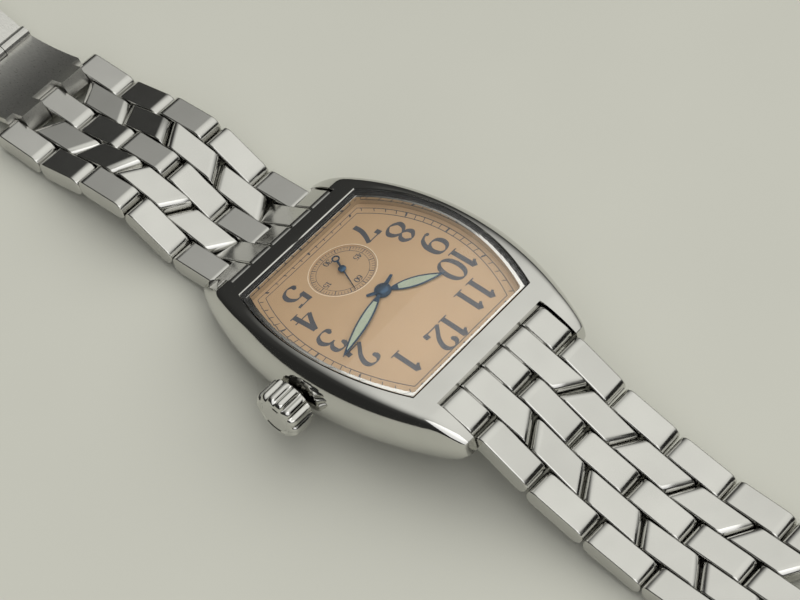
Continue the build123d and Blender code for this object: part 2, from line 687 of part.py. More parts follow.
def centre_wheel():
    """Wheel, pinion and the long arbor that carries the minute hand."""
    shape = wheel(CENTRE_TEETH, CENTRE_MODULE, 0, SPOKES)
    low, high = pinion_level(1, 3)
    shape += toothed(CENTRE_PINION_TEETH, BARREL_MODULE, low, high, CENTRE_PINION_PHASE)
    top = MINUTE_HAND_DEPTH - HAND_THICKNESS / 2
    return shape + arbor(CENTRE_ARBOR_RADIUS, top, BRIDGE_TOP_DEPTH + PIVOT_DEPTH)


def third_wheel():
    shape = wheel(THIRD_TEETH, THIRD_MODULE, 2, SPOKES)
    low, high = pinion_level(0, 1)
    shape += toothed(THIRD_PINION_TEETH, CENTRE_MODULE, low, high, THIRD_PINION_PHASE)
    return at(THIRD_PLACE, shape + short_arbor())


def fourth_wheel():
    """Wheel whose arbor reaches through the dial to the seconds hand."""
    shape = wheel(FOURTH_TEETH, FOURTH_MODULE, 4, SPOKES)
    low, high = pinion_level(2, 3)
    shape += toothed(FOURTH_PINION_TEETH, THIRD_MODULE, low, high, FOURTH_PINION_PHASE)
    shape += arbor(ARBOR_RADIUS, SECONDS_HAND_DEPTH - HAND_THICKNESS / 2, BRIDGE_TOP_DEPTH + PIVOT_DEPTH)
    return at(FOURTH_PLACE, shape)


def escape_wheel():
    """Wheel with raked pointed teeth, and its pinion."""
    low, high = level(0)
    root = ESCAPE_RADIUS * ESCAPE_ROOT_SHARE
    points = []
    for tooth in range(ESCAPE_TEETH):
        for offset, radius in ((0, root), (ESCAPE_RAKE_SHARE, ESCAPE_RADIUS), (ESCAPE_BASE_SHARE, root)):
            angle = 2 * pi * (tooth + offset) / ESCAPE_TEETH
            points.append((radius * cos(angle), radius * sin(angle), 0))
    blank = extrude(Face(Wire.make_polygon(points, close=True)), high - low, dir=(0, 0, 1))
    shape = Pos(0, 0, low) * blank
    shape -= spoked(root - RIM_WIDTH, WHEEL_HUB_RADIUS, SPOKES, SPOKE_WIDTH, low, high)
    pinion_low, pinion_high = pinion_level(4, 4)
    shape += toothed(ESCAPE_PINION_TEETH, FOURTH_MODULE, pinion_low, pinion_high, ESCAPE_PINION_PHASE)
    return at(ESCAPE_PLACE, shape + short_arbor())


def pallet_fork():
    """Lever with two pallet arms toward the escape wheel and a fork to the balance."""
    low, high = level(0)
    thickness = high - low
    to_escape = direction(PALLET_PLACE, ESCAPE_PLACE)
    to_balance = direction(PALLET_PLACE, BALANCE_PLACE)
    reach = PALLET_DISTANCE - ESCAPE_RADIUS
    shape = small_rod_z(PALLET_HUB_RADIUS, 0, 0, low, high)
    for side in (-1, 1):
        arm = Box(
            PALLET_ARM_LENGTH, PALLET_ARM_WIDTH, thickness, align=(Align.MIN, Align.CENTER, Align.MIN)
        )
        stone = Box(
            PALLET_ARM_WIDTH, PALLET_STONE_LENGTH, thickness, align=(Align.MAX, Align.CENTER, Align.MIN)
        )
        stone = Pos(PALLET_ARM_LENGTH, 0, 0) * stone
        shape += Pos(0, 0, low) * Rot(0, 0, to_escape + side * PALLET_SPREAD) * (arm + stone)
    lever = Box(
        PALLET_LEVER_LENGTH, PALLET_ARM_WIDTH, thickness, align=(Align.MIN, Align.CENTER, Align.MIN)
    )
    horns = Pos(PALLET_LEVER_LENGTH, 0, 0) * Box(
        PALLET_ARM_WIDTH, 2 * reach, thickness, align=(Align.CENTER, Align.CENTER, Align.MIN)
    )
    shape += Pos(0, 0, low) * Rot(0, 0, to_balance) * (lever + horns)
    return at(PALLET_PLACE, shape + short_arbor())


def balance_wheel():
    """Balance rim, two arms, staff and roller."""
    low, high = level(2)[0], level(1)[1]
    shape = ring_z(BALANCE_RADIUS, BALANCE_RADIUS - BALANCE_RIM, 0, 0, low, high)
    span = 2 * BALANCE_RADIUS - BALANCE_RIM
    arms = Box(span, SPOKE_WIDTH, high - low, align=(Align.CENTER, Align.CENTER, Align.MIN))
    shape += Pos(0, 0, low) * Rot(0, 0, BALANCE_ARM_DIRECTION) * arms
    shape += small_rod_z(WHEEL_HUB_RADIUS, 0, 0, low, level(0)[1])
    return at(BALANCE_PLACE, shape + short_arbor())


def hairspring():
    """Flat spiral blade about the balance staff."""
    low = level(4)[0]
    steps = HAIRSPRING_TURNS * HAIRSPRING_STEPS
    growth = (HAIRSPRING_OUTER_RADIUS - HAIRSPRING_INNER_RADIUS) / steps
    sides = ([], [])
    for step in range(steps + 1):
        angle = 2 * pi * step / HAIRSPRING_STEPS
        radius = HAIRSPRING_INNER_RADIUS + growth * step
        for side, distance in zip(sides, (radius, radius - HAIRSPRING_BLADE)):
            side.append((distance * cos(angle), distance * sin(angle), 0))
    wire = Wire.make_polygon(sides[0] + sides[1][::-1], close=True)
    return at(BALANCE_PLACE, Pos(0, 0, low) * extrude(Face(wire), HAIRSPRING_HEIGHT, dir=(0, 0, 1)))


def hour_wheel():
    """Wheel and pipe that carry the hour hand over the cannon pinion."""
    high = -DIAL_BOTTOM_DEPTH - MOTION_GAP
    shape = toothed(HOUR_TEETH, HOUR_MODULE, high - WHEEL_THICKNESS, high, HOUR_PHASE)
    top = -HOUR_HAND_DEPTH + HAND_THICKNESS / 2
    shape += small_rod_z(HOUR_PIPE_RADIUS, 0, 0, high, top, ROUND_SIDES)
    return shape - small_bore_z(CANNON_RADIUS + PIPE_CLEARANCE, 0, 0, -CASE_DEPTH, 0)


def cannon_pinion():
    """Tube on the centre arbor with the pinion of the motion work."""
    low = -PLATE_TOP_DEPTH + PIVOT_CLEARANCE
    shape = toothed(CANNON_TEETH, MOTION_MODULE, low, low + CANNON_LEAF_LENGTH, CANNON_PHASE)
    shape += small_rod_z(CANNON_RADIUS, 0, 0, low, -MINUTE_HAND_DEPTH - HAND_THICKNESS / 2)
    return shape - small_rod_z(CENTRE_ARBOR_RADIUS, 0, 0, -CASE_DEPTH, 0)


def minute_wheel():
    """Wheel and pinion between the cannon pinion and the hour wheel."""
    low = -PLATE_TOP_DEPTH + PIVOT_CLEARANCE
    shape = toothed(MINUTE_WHEEL_TEETH, MOTION_MODULE, low, low + WHEEL_THICKNESS)
    pinion_top = -DIAL_BOTTOM_DEPTH - MOTION_GAP
    shape += toothed(MINUTE_PINION_TEETH, HOUR_MODULE, low, pinion_top)
    shape += small_rod_z(ARBOR_RADIUS, 0, 0, -PLATE_TOP_DEPTH - PIVOT_DEPTH, low)
    return at(MINUTE_WHEEL_PLACE, shape)


def ratchet_wheel():
    """Wheel on the barrel arbor, over the barrel bridge."""
    high = -BRIDGE_BOTTOM_DEPTH - LEVEL_GAP
    low = high - RATCHET_THICKNESS
    shape = toothed(RATCHET_TEETH, RATCHET_MODULE, low, high)
    shape += arbor(CENTRE_ARBOR_RADIUS, PLATE_BOTTOM_DEPTH - PIVOT_DEPTH, -high)
    return at(BARREL_PLACE, shape)


def crown_wheel():
    high = -BRIDGE_BOTTOM_DEPTH - LEVEL_GAP
    low = high - RATCHET_THICKNESS
    shape = toothed(CROWN_WHEEL_TEETH, RATCHET_MODULE, low, high, CROWN_WHEEL_PHASE)
    shape += small_rod_z(CENTRE_ARBOR_RADIUS, 0, 0, high, high + LEVEL_GAP + PIVOT_DEPTH)
    return at(CROWN_WHEEL_PLACE, shape)


def arbor_bore(place, radius):
    return small_bore_z(radius + PIVOT_CLEARANCE, *place, -CASE_DEPTH, 0)


def stem_bore(start, end):
    return small_bore_x(STEM_RADIUS + STEM_CLEARANCE, start, end, 0, -STEM_DEPTH)


def winding_window():
    """Room for the winding pinion over its travel."""
    start = WINDING_PINION_START - STEM_CLEARANCE
    length = WINDING_PINION_LENGTH + CROWN_TRAVEL + 2 * STEM_CLEARANCE
    tip = RATCHET_MODULE * (WINDING_PINION_TEETH / 2 + TOOTH_HEIGHT_MODULES)
    width = 2 * (tip + STEM_CLEARANCE)
    window = Box(length, width, width, align=(Align.MIN, Align.CENTER, Align.CENTER))
    return Pos(start, 0, -STEM_DEPTH) * window


def setting_slot():
    """Slot for the setting lever's pin over its travel."""
    length = 2 * (SETTING_PIN_RADIUS + STEM_CLEARANCE) + CROWN_TRAVEL
    start = STEM_NECK_PLACE - SETTING_PIN_RADIUS - STEM_CLEARANCE
    width = 2 * (SETTING_PIN_RADIUS + STEM_CLEARANCE)
    return Pos(start, 0, -STEM_DEPTH) * Box(length, width, FAR, align=(Align.MIN, Align.CENTER, Align.MIN))


def setting_lever():
    """Lever whose pin sits in the stem's neck."""
    low = -PLATE_TOP_DEPTH + PIVOT_CLEARANCE
    start = STEM_NECK_PLACE + SETTING_PIN_RADIUS
    shape = Pos(start, 0, low) * Box(
        SETTING_LEVER_LENGTH,
        SETTING_LEVER_WIDTH,
        SETTING_LEVER_THICKNESS,
        align=(Align.MAX, Align.CENTER, Align.MIN),
    )
    pin_low = -STEM_DEPTH + STEM_NECK_RADIUS + PIVOT_CLEARANCE
    return shape + small_rod_z(SETTING_PIN_RADIUS, STEM_NECK_PLACE, 0, pin_low, low)


def movement_disc(high_depth, low_depth):
    return rod_z(MOVEMENT_RADIUS, 0, 0, -low_depth, -high_depth)


def main_plate():
    plate = movement_disc(PLATE_TOP_DEPTH, PLATE_BOTTOM_DEPTH)
    for place in (THIRD_PLACE, FOURTH_PLACE, ESCAPE_PLACE, PALLET_PLACE, BALANCE_PLACE, MINUTE_WHEEL_PLACE):
        plate -= arbor_bore(place, ARBOR_RADIUS)
    for place in ((0, 0), BARREL_PLACE):
        plate -= arbor_bore(place, CENTRE_ARBOR_RADIUS)
    plate -= stem_bore(STEM_INNER_END - STEM_CLEARANCE, MOVEMENT_RADIUS)
    plate -= winding_window()
    return plate - setting_slot()


def wedge(first, last):
    """Block between two directions from the point where the bridges meet."""
    x, y = BRIDGE_MEETING
    steps = max(2, round((last - first) / WEDGE_STEP) + 1)
    directions = [first + (last - first) * step / (steps - 1) for step in range(steps)]
    points = [(x, y, 0)] + [(*polar(FAR, angle, x, y), 0) for angle in directions]
    face = Face(Wire.make_polygon(points, close=True))
    return Pos(0, 0, -CASE_DEPTH) * extrude(face, CASE_DEPTH, dir=(0, 0, 1))


def bridge(first, last, posts, bores):
    """Bridge over part of the movement, on posts that stand on the main plate."""
    plate = movement_disc(BRIDGE_TOP_DEPTH, BRIDGE_BOTTOM_DEPTH) & wedge(first, last)
    for x, y in posts:
        plate += small_rod_z(POST_RADIUS, x, y, -BRIDGE_TOP_DEPTH, -PLATE_BOTTOM_DEPTH)
    for place, radius in bores:
        plate -= arbor_bore(place, radius)
    return plate


def barrel_bridge():
    places = ((0, 0), BARREL_PLACE, CROWN_WHEEL_PLACE)
    bores = [(place, CENTRE_ARBOR_RADIUS) for place in places]
    plate = bridge(*BARREL_BRIDGE_SPAN, BARREL_BRIDGE_POSTS, bores)
    return plate - winding_window()


def train_bridge():
    places = (THIRD_PLACE, FOURTH_PLACE, ESCAPE_PLACE, PALLET_PLACE)
    return bridge(*TRAIN_BRIDGE_SPAN, TRAIN_BRIDGE_POSTS, [(place, ARBOR_RADIUS) for place in places])


def balance_cock():
    return bridge(*COCK_SPAN, COCK_POSTS, [(BALANCE_PLACE, ARBOR_RADIUS)])


def movement_ring():
    """Spacer between the round movement and the case."""
    low = -CAVITY_FLOOR_DEPTH + BACK_PLUG_HEIGHT + MOVEMENT_RING_CLEARANCE
    high = -PLATE_TOP_DEPTH - MOVEMENT_RING_CLEARANCE
    ring = opening(CAVITY_INSET + MOVEMENT_RING_CLEARANCE, low, high)
    ring -= rod_z(MOVEMENT_RADIUS + MOVEMENT_RING_CLEARANCE, 0, 0, -CASE_DEPTH, 0)
    ring -= curved_layer(-CASE_DEPTH, DIAL_BOTTOM_DEPTH + MOVEMENT_RING_CLEARANCE)
    return ring - stem_bore(0, FAR)


CROWN_START = CASE_HALF_WIDTH + CROWN_GAP
CROWN_END = CROWN_START + CROWN_LENGTH
TUBE_END = CASE_HALF_WIDTH + CROWN_TUBE_REACH
STEM_OUTER_END = CROWN_END - CROWN_ROUND - STEM_RADIUS


def fluted_outline():
    """Crown seen from its end: flat-bottomed flutes between flat ribs."""
    points = []
    step = 2 * pi / CROWN_FLUTES
    floor = CROWN_RADIUS - FLUTE_DEPTH
    for flute in range(CROWN_FLUTES):
        for share, radius in zip(FLUTE_SHARES, (floor, floor, CROWN_RADIUS, CROWN_RADIUS)):
            angle = (flute + share) * step
            points.append((radius * cos(angle), radius * sin(angle), 0))
    return Face(Wire.make_polygon(points, close=True))


def crown_round():
    """Block of revolution along X that rounds the crown's outer edge."""
    corner = CROWN_ROUND * (1 - sqrt(1 / 2))
    edges = [
        line((CROWN_START, 0, 0), (CROWN_START, CROWN_RADIUS, 0)),
        line((CROWN_START, CROWN_RADIUS, 0), (CROWN_END - CROWN_ROUND, CROWN_RADIUS, 0)),
        arc(
            (CROWN_END - CROWN_ROUND, CROWN_RADIUS, 0),
            (CROWN_END - corner, CROWN_RADIUS - corner, 0),
            (CROWN_END, CROWN_RADIUS - CROWN_ROUND, 0),
        ),
        line((CROWN_END, CROWN_RADIUS - CROWN_ROUND, 0), (CROWN_END, 0, 0)),
        line((CROWN_END, 0, 0), (CROWN_START, 0, 0)),
    ]
    return revolve(Face(Wire(edges)), axis=Axis.X)


def crown():
    """Fluted crown with a rounded end, bored over its tube."""
    ribs = Pos(CROWN_START, 0, 0) * Rot(0, 90, 0) * extrude(fluted_outline(), CROWN_LENGTH, dir=(0, 0, 1))
    shape = crown_round() & ribs
    shape -= rod_x(CROWN_BORE_RADIUS, CROWN_START - CROWN_GAP, CROWN_START + CROWN_BORE_DEPTH, 0, 0)
    shape -= small_rod_x(STEM_RADIUS, CROWN_START, STEM_OUTER_END, 0, 0)
    return Pos(0, 0, -STEM_DEPTH) * shape


def winding_stem():
    """Stem with the winding pinion and the neck of the setting lever."""
    shape = small_rod_x(STEM_RADIUS, STEM_INNER_END, STEM_OUTER_END, 0, 0)
    neck_start = STEM_NECK_PLACE - STEM_NECK_LENGTH / 2
    groove = rod_x(CROWN_RADIUS, neck_start, neck_start + STEM_NECK_LENGTH, 0, 0)
    groove -= small_rod_x(STEM_NECK_RADIUS, neck_start, neck_start + STEM_NECK_LENGTH, 0, 0)
    shape -= groove
    pinion = toothed(WINDING_PINION_TEETH, RATCHET_MODULE, 0, WINDING_PINION_LENGTH)
    shape += Pos(WINDING_PINION_START, 0, 0) * Rot(0, 90, 0) * pinion
    return Pos(0, 0, -STEM_DEPTH) * shape


def crown_tube():
    start = OPENING_HALF_WIDTH - CAVITY_INSET
    tube = rod_x(CROWN_TUBE_RADIUS, start, TUBE_END, 0, -STEM_DEPTH)
    return tube - stem_bore(0, FAR)


def crown_gasket():
    start = CROWN_START + STEM_CLEARANCE
    end = start + GASKET_WIDTH * 2
    ring = rod_x(CROWN_BORE_RADIUS, start, end, 0, -STEM_DEPTH)
    return ring - rod_x(CROWN_TUBE_RADIUS + PIPE_CLEARANCE, 0, FAR, 0, -STEM_DEPTH)


def link_profile(start, end):
    """Side outline of a link: flat faces, and three flats at each end that clear the next link."""
    h = LINK_HALF
    face = LINK_END_FACE / 2
    face_reach = sqrt(LINK_END_RADIUS**2 - face**2)
    top_reach = sqrt(LINK_END_RADIUS**2 - h**2)
    outward_end = [
        (end + top_reach, h),
        (end + face_reach, face),
        (end + face_reach, -face),
        (end + top_reach, -h),
    ]
    inward_end = [(start + end - y, -z) for y, z in outward_end]
    points = [(0, y, z) for y, z in outward_end + inward_end]
    return Face(Wire.make_polygon(points, close=True))


def column_centre(column):
    return (column - (COLUMNS - 1) / 2) * COLUMN_STEP


def square_link(column, start, end):
    x0 = column_centre(column) - COLUMN_WIDTH / 2
    return prism_x(link_profile(start, end), x0, x0 + COLUMN_WIDTH)


def mitred_link(column, start, end):
    """Link whose ends slope, nearer the head on the side of the bracelet's middle."""
    centre = column_centre(column)
    side = 1 if centre > 0 else -1
    slope = Vector(side, MITRE, 0)
    inner = centre - side * COLUMN_WIDTH / 2
    shape = extrude(link_profile(start, end), COLUMN_WIDTH * slope.length, dir=tuple(slope.normalized()))
    return Pos(inner, -MITRE * COLUMN_WIDTH / 2, 0) * shape


def pin_bore(y):
    return small_bore_x(PIN_RADIUS + PIN_CLEARANCE, -BRACELET_WIDTH, BRACELET_WIDTH, y, 0)


def link_row():
    """Outer and centre links, fused with the two pins that they hold, from the first pin outwards."""
    half = BRACELET_WIDTH / 2
    shape = small_rod_x(PIN_RADIUS, -half, half, 0, 0) + small_rod_x(PIN_RADIUS, -half, half, HALF_PITCH, 0)
    for column in range(0, COLUMNS, 2):
        shape += square_link(column, 0, HALF_PITCH)
    return shape


def mid_row():
    """Mitred intermediate links, from the first pin outwards."""
    links = [mitred_link(column, 0, HALF_PITCH) for column in range(1, COLUMNS, 2)]
    return [link - pin_bore(0) - pin_bore(HALF_PITCH) for link in links]


def end_link():
    """End link from the spring bar: a heel, three short fingers and two long ones."""
    half = BRACELET_WIDTH / 2
    short_end = END_LINK_REACH - HALF_PITCH
    block = prism_x(link_profile(0, short_end), -half, half)
    block &= rod_x(END_LINK_HEEL, -half, half, 0, 0) + Box(
        FAR, FAR, FAR, align=(Align.CENTER, Align.MIN, Align.CENTER)
    )
    for column in range(1, COLUMNS, 2):
        block += mitred_link(column, short_end, END_LINK_REACH)
    block -= small_bore_x(SPRING_BAR_RADIUS + PIN_CLEARANCE, -FAR, FAR, 0, 0)
    return block - pin_bore(END_LINK_REACH)


def moved_all(shapes, place):
    return [place * shape for shape in shapes]


def place_head(lowest):
    """Places the head's frame so that its lowest point is on the floor."""
    return Pos(0, 0, -lowest) * Rot(HEAD_PITCH, 0, 0)


def outward(side):
    """Turns a strand's frame so that +Y runs away from the head."""
    return Rot(0, 0, 0 if side > 0 else 180)


def pin_places(start_y, start_z, heights):
    """Places of the spring bar and the pins, outwards along one strand."""
    places = [(start_y, start_z)]
    for step, height in enumerate(heights):
        length = HALF_PITCH if step else END_LINK_REACH
        y, z = places[-1]
        places.append((y + sqrt(length**2 - (height - z) ** 2), height))
    return places


def link_place(side, a, b):
    """Frame of a link from one pin to the next."""
    rise = degrees(atan2(b[1] - a[1], b[0] - a[0]))
    return outward(side) * Pos(0, a[0], a[1]) * Rot(rise, 0, 0)


CLASP_HALF_ANGLE = degrees(asin(WING_LENGTH / BLADE_RADIUS))
BLADE_OFFSET = (BLADE_THICKNESS + BLADE_GAP) / 2
WING_SAG = BLADE_RADIUS - BLADE_RADIUS * cos(radians(CLASP_HALF_ANGLE))
STRAND_PIN_Y = WING_LENGTH - HALF_PITCH / 2
STRAND_PIN_Z = WING_SAG + BLADE_OFFSET + BLADE_THICKNESS / 2 + BLADE_GAP + LINK_HALF


def clasp_arc(offset, first, last, half_width):
    """Curved strip over the closed clasp, between two shares of its length."""
    centre_z = WING_SAG - BLADE_RADIUS
    outer = BLADE_RADIUS + offset + BLADE_THICKNESS / 2
    strip = Pos(0, WING_LENGTH, centre_z) * band(
        outer, outer - BLADE_THICKNESS, CLASP_HALF_ANGLE, -half_width, half_width
    )
    window = Pos(0, first, 0) * Box(FAR, last - first, FAR, align=(Align.CENTER, Align.MIN, Align.CENTER))
    return strip & window


def knuckles(radius, y, z, spans):
    shape = None
    for x0, x1 in spans:
        rod = small_rod_x(radius, x0, x1, y, z, ROUND_SIDES)
        shape = rod if shape is None else shape + rod
    return shape


def clasp_wing():
    """Wing blade in the closed clasp's frame, from its hinge to the strand's last pin."""
    half = BLADE_WIDTH / 2
    inner = half * KNUCKLE_SHARE
    radius = CLASP_KNUCKLE_RADIUS
    shape = clasp_arc(BLADE_OFFSET, 0, STRAND_PIN_Y - radius - 2 * BLADE_GAP, half)
    spans = [(-half, -inner - BLADE_GAP / 2), (inner + BLADE_GAP / 2, half)]
    shape += knuckles(radius, 0, 0, spans)
    shape -= small_bore_x(radius + BLADE_GAP, -inner - BLADE_GAP / 2, inner + BLADE_GAP / 2, 0, 0)
    tongue = clasp_arc(BLADE_OFFSET, STRAND_PIN_Y - 2 * radius, STRAND_PIN_Y + radius, COLUMN_WIDTH / 2)
    for column in range(1, COLUMNS, 2):
        centre = column_centre(column)
        x0 = centre - COLUMN_WIDTH / 2
        ear = small_rod_x(radius, x0, x0 + COLUMN_WIDTH, STRAND_PIN_Y, STRAND_PIN_Z, ROUND_SIDES)
        drop = LINK_HALF + BLADE_THICKNESS
        foot = Box(COLUMN_WIDTH, 2 * radius, drop, align=(Align.MIN, Align.CENTER, Align.MAX))
        shape += Pos(centre, 0, 0) * tongue + ear + Pos(x0, STRAND_PIN_Y, STRAND_PIN_Z) * foot
    shape -= small_bore_x(PIN_RADIUS + PIN_CLEARANCE, -FAR, FAR, STRAND_PIN_Y, STRAND_PIN_Z)
    return shape - small_bore_x(CLASP_PIN_RADIUS + PIN_CLEARANCE, -FAR, FAR, 0, 0)


def clasp_centre():
    """Middle blade and its two hinge pins."""
    half = BLADE_WIDTH / 2
    inner = half * KNUCKLE_SHARE
    shape = clasp_arc(-BLADE_OFFSET, 0, 2 * WING_LENGTH, half)
    for y in (0, 2 * WING_LENGTH):
        shape += knuckles(CLASP_KNUCKLE_RADIUS, y, 0, [(-inner + BLADE_GAP / 2, inner - BLADE_GAP / 2)])
        for x0, x1 in ((-half, -inner + BLADE_GAP / 2), (inner - BLADE_GAP / 2, half)):
            shape -= small_bore_x(CLASP_KNUCKLE_RADIUS + BLADE_GAP, x0, x1, y, 0)
        shape += small_rod_x(CLASP_PIN_RADIUS, -half, half, y, 0)
    return shape


def nodes():
    """Every node's shape, in the resting pose."""
    case = case_body()
    head = place_head((Rot(HEAD_PITCH, 0, 0) * case).bounding_box().min.Z)
    bar = spring_bar()
    bars = [bar, Rot(0, 0, 180) * bar]
    in_head = {
        "case_body": case,
        "crystal": crystal(),
        "crystal_gasket": crystal_gasket(),
        "case_back": case_back(),
        "back_gasket": back_gasket(),
        "back_screws": back_screws(),
        "dial": dial(),
        "hour_hand": hour_hand(),
        "minute_hand": minute_hand(),
        "seconds_hand": seconds_hand(),
        "hour_wheel": hour_wheel(),
        "cannon_pinion": cannon_pinion(),
        "minute_wheel": minute_wheel(),
        "main_plate": main_plate(),
        "barrel_bridge": barrel_bridge(),
        "train_bridge": train_bridge(),
        "balance_cock": balance_cock(),
        "movement_ring": movement_ring(),
        "mainspring_barrel": mainspring_barrel(),
        "centre_wheel": centre_wheel(),
        "third_wheel": third_wheel(),
        "fourth_wheel": fourth_wheel(),
        "escape_wheel": escape_wheel(),
        "pallet_fork": pallet_fork(),
        "balance_wheel": balance_wheel(),
        "hairspring": hairspring(),
        "ratchet_wheel": ratchet_wheel(),
        "crown_wheel": crown_wheel(),
        "crown": crown(),
        "winding_stem": winding_stem(),
        "setting_lever": setting_lever(),
        "crown_tube": crown_tube(),
        "crown_gasket": crown_gasket(),
        "spring_bars": bars,
    }
    placed = {}
    for name, shape in in_head.items():
        placed[name] = moved_all(shape, head) if isinstance(shape, list) else head * shape
    placed.update(bracelet(head))
    return placed


def to_base_centre(shapes):
    """Shift that puts the origin at the middle of the whole watch's base."""
    solids = [solid for shape in shapes for solid in (shape if isinstance(shape, list) else [shape])]
    boxes = [solid.bounding_box() for solid in solids]
    middle_x = (min(box.min.X for box in boxes) + max(box.max.X for box in boxes)) / 2
    middle_y = (min(box.min.Y for box in boxes) + max(box.max.Y for box in boxes)) / 2
    return Pos(-middle_x, -middle_y, -min(box.min.Z for box in boxes))


def strand(end, side, head, heights):
    """One strand's end link and rows, and the places of its pins."""
    bar = (head * Pos(0, side * SPRING_BAR_DISTANCE, -SPRING_BAR_DEPTH)).position
    places = pin_places(side * bar.Y, bar.Z, heights)
    shapes = {f"end_link_{end}": link_place(side, places[0], places[1]) * end_link()}
    square, mitred = link_row(), mid_row()
    for step in range(1, len(heights)):
        row = (step + 1) // 2
        frame = link_place(side, places[step], places[step + 1])
        if step % 2:
            shapes[f"link_row_{end}_{row}"] = frame * square
        else:
            shapes[f"mid_row_{end}_{row}"] = moved_all(mitred, frame)
    return shapes, places


def clasp(places):
    """Opened clasp beyond the 6 o'clock strand's last pin."""
    end_y, end_z = places[-1]
    hinge_z = CLASP_KNUCKLE_RADIUS + BLADE_GAP
    reach = sqrt(STRAND_PIN_Y**2 + STRAND_PIN_Z**2)
    hinge_y = end_y + sqrt(reach**2 - (hinge_z - end_z) ** 2)
    rest = atan2(end_z - hinge_z, end_y - hinge_y)
    closed = atan2(STRAND_PIN_Z, STRAND_PIN_Y)
    turn = degrees(rest - closed)
    side = outward(-1)
    wing = clasp_wing()
    far_wing = Rot(0, 0, 180) * Pos(0, -2 * WING_LENGTH, 0) * wing
    hinge = side * Pos(0, hinge_y, hinge_z)
    return {
        "clasp_wing_6": hinge * Rot(turn, 0, 0) * wing,
        "clasp_centre_blade": hinge * clasp_centre(),
        "clasp_wing_12": hinge * far_wing,
    }


def bracelet(head):
    shapes, _ = strand("12", 1, head, PIN_HEIGHTS_12)
    shapes_6, places = strand("6", -1, head, PIN_HEIGHTS_6)
    return {**shapes, **shapes_6, **clasp(places)}


placed_nodes = nodes()
base = to_base_centre(placed_nodes.values())
for node, shape in placed_nodes.items():
    solids = shape if isinstance(shape, list) else [shape]
    moved = moved_all(solids, base)
    export_step(Compound(children=moved) if len(moved) > 1 else moved[0], f"parts/{node}.step")
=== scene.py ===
import json
from math import asin, atan2, cos, hypot, inf, pi, radians, sin, sqrt, tan

import bmesh
import bpy
import numpy as np
from mathutils import Matrix, Vector


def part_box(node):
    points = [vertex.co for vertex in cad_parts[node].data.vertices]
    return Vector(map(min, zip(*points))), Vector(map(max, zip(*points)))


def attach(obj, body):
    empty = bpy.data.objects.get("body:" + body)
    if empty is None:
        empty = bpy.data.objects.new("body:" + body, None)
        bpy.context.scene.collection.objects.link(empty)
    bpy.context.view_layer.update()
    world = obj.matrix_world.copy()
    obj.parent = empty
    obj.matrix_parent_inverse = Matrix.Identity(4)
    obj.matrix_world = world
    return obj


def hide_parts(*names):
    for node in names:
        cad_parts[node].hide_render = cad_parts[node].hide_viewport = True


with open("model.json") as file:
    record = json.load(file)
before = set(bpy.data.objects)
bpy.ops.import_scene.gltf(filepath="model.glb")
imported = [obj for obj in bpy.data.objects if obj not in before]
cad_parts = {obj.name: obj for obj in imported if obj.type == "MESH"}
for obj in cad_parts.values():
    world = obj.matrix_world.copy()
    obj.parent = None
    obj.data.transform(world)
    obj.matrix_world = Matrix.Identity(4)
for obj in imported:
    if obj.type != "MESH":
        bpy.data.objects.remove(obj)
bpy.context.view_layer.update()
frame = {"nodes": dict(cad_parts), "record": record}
RECORD = frame["record"]

bl_info = {
    "name": "Tonneau watch",
    "version": (1, 0, 0),
    "blender": (4, 5, 0),
    "location": "3D View > Sidebar > Watch",
    "description": "Builds the watch's case, dial, hands, crown and bracelet on its packed frame",
    "category": "Object",
}

MM = 0.001

# Sizes of the case, in millimetres, as in the part's source.
CASE_HALF_LENGTH = 21.4
CASE_HALF_WIDTH = 15.75
CASE_TIP_HALF_WIDTH = 10.3
CASE_DEPTH = 9.2
FLANK_WIDEST_DEPTH = 4.6
FLANK_TOP_HALF_WIDTH = 13.3
FLANK_TIP_DROP = 1.1
TOP_RADIUS = 81.0
OPENING = (14.0, 12.95, 9.92)
NOSE_START = 17.2
NOSE_MIDDLE = (19.6, -3.0)
TIP_TOP_DEPTH = 4.3
TIP_BOTTOM_DEPTH = 6.4
TUCK_START = 15.8
TUCK_MIDDLE = (19.2, -8.3)
NOTCH_HALF_WIDTH = 8.85
NOTCH_FRONT = 16.5
NOTCH_RADIUS = 1.95
NOTCH_FAR, NOTCH_TOP, NOTCH_BOTTOM = 40, 5, -16
SPRING_BAR_DISTANCE = 17.7
SPRING_BAR_DEPTH = 3.9
BACK_OUTLINE = (15.2, 12.95, 9.75)
BACK_THICKNESS = 1.1
BACK_SCREW_PLACES = [(x, y) for x in (-7.4, 7.4) for y in (-14.45, 14.45)]
BACK_SCREW_TURNS = (24, 71, 133, 160)
BACK_SCREW_RADIUS = 0.65
BACK_SCREW_HEIGHT = 0.4
BACK_SCREW_SLOT = 0.16
BACK_SCREW_PLAY = 0.02
LEDGE_WIDTH = 0.75
LEDGE_DEPTH = 0.85
CAVITY_INSET = 0.35
CRYSTAL_INSET = 0.04
CRYSTAL_THICKNESS = 0.7
CRYSTAL_BEVEL = 0.1
CRYSTAL_EDGE_DEPTH = 0.2
RIM_BEVEL_DROP = 0.8
HEAD_ORIGIN_DEPTH = 4.75
STEEP_BEND = radians(60)

# How finely the case's sections are traced, and how their points gather at bends.
CASE_OUTLINE_STEPS = (44, 76)
TRACED_POINTS = 260
KEPT_POINTS = 64
HALVINGS = 34
TRACE_REACH = 40.0
PIVOT_SHARE = 0.45
LENGTH_WEIGHT = 0.35
BEND_WEIGHT = 2.2
PLATE_OUTLINE_STEPS = (24, 48)

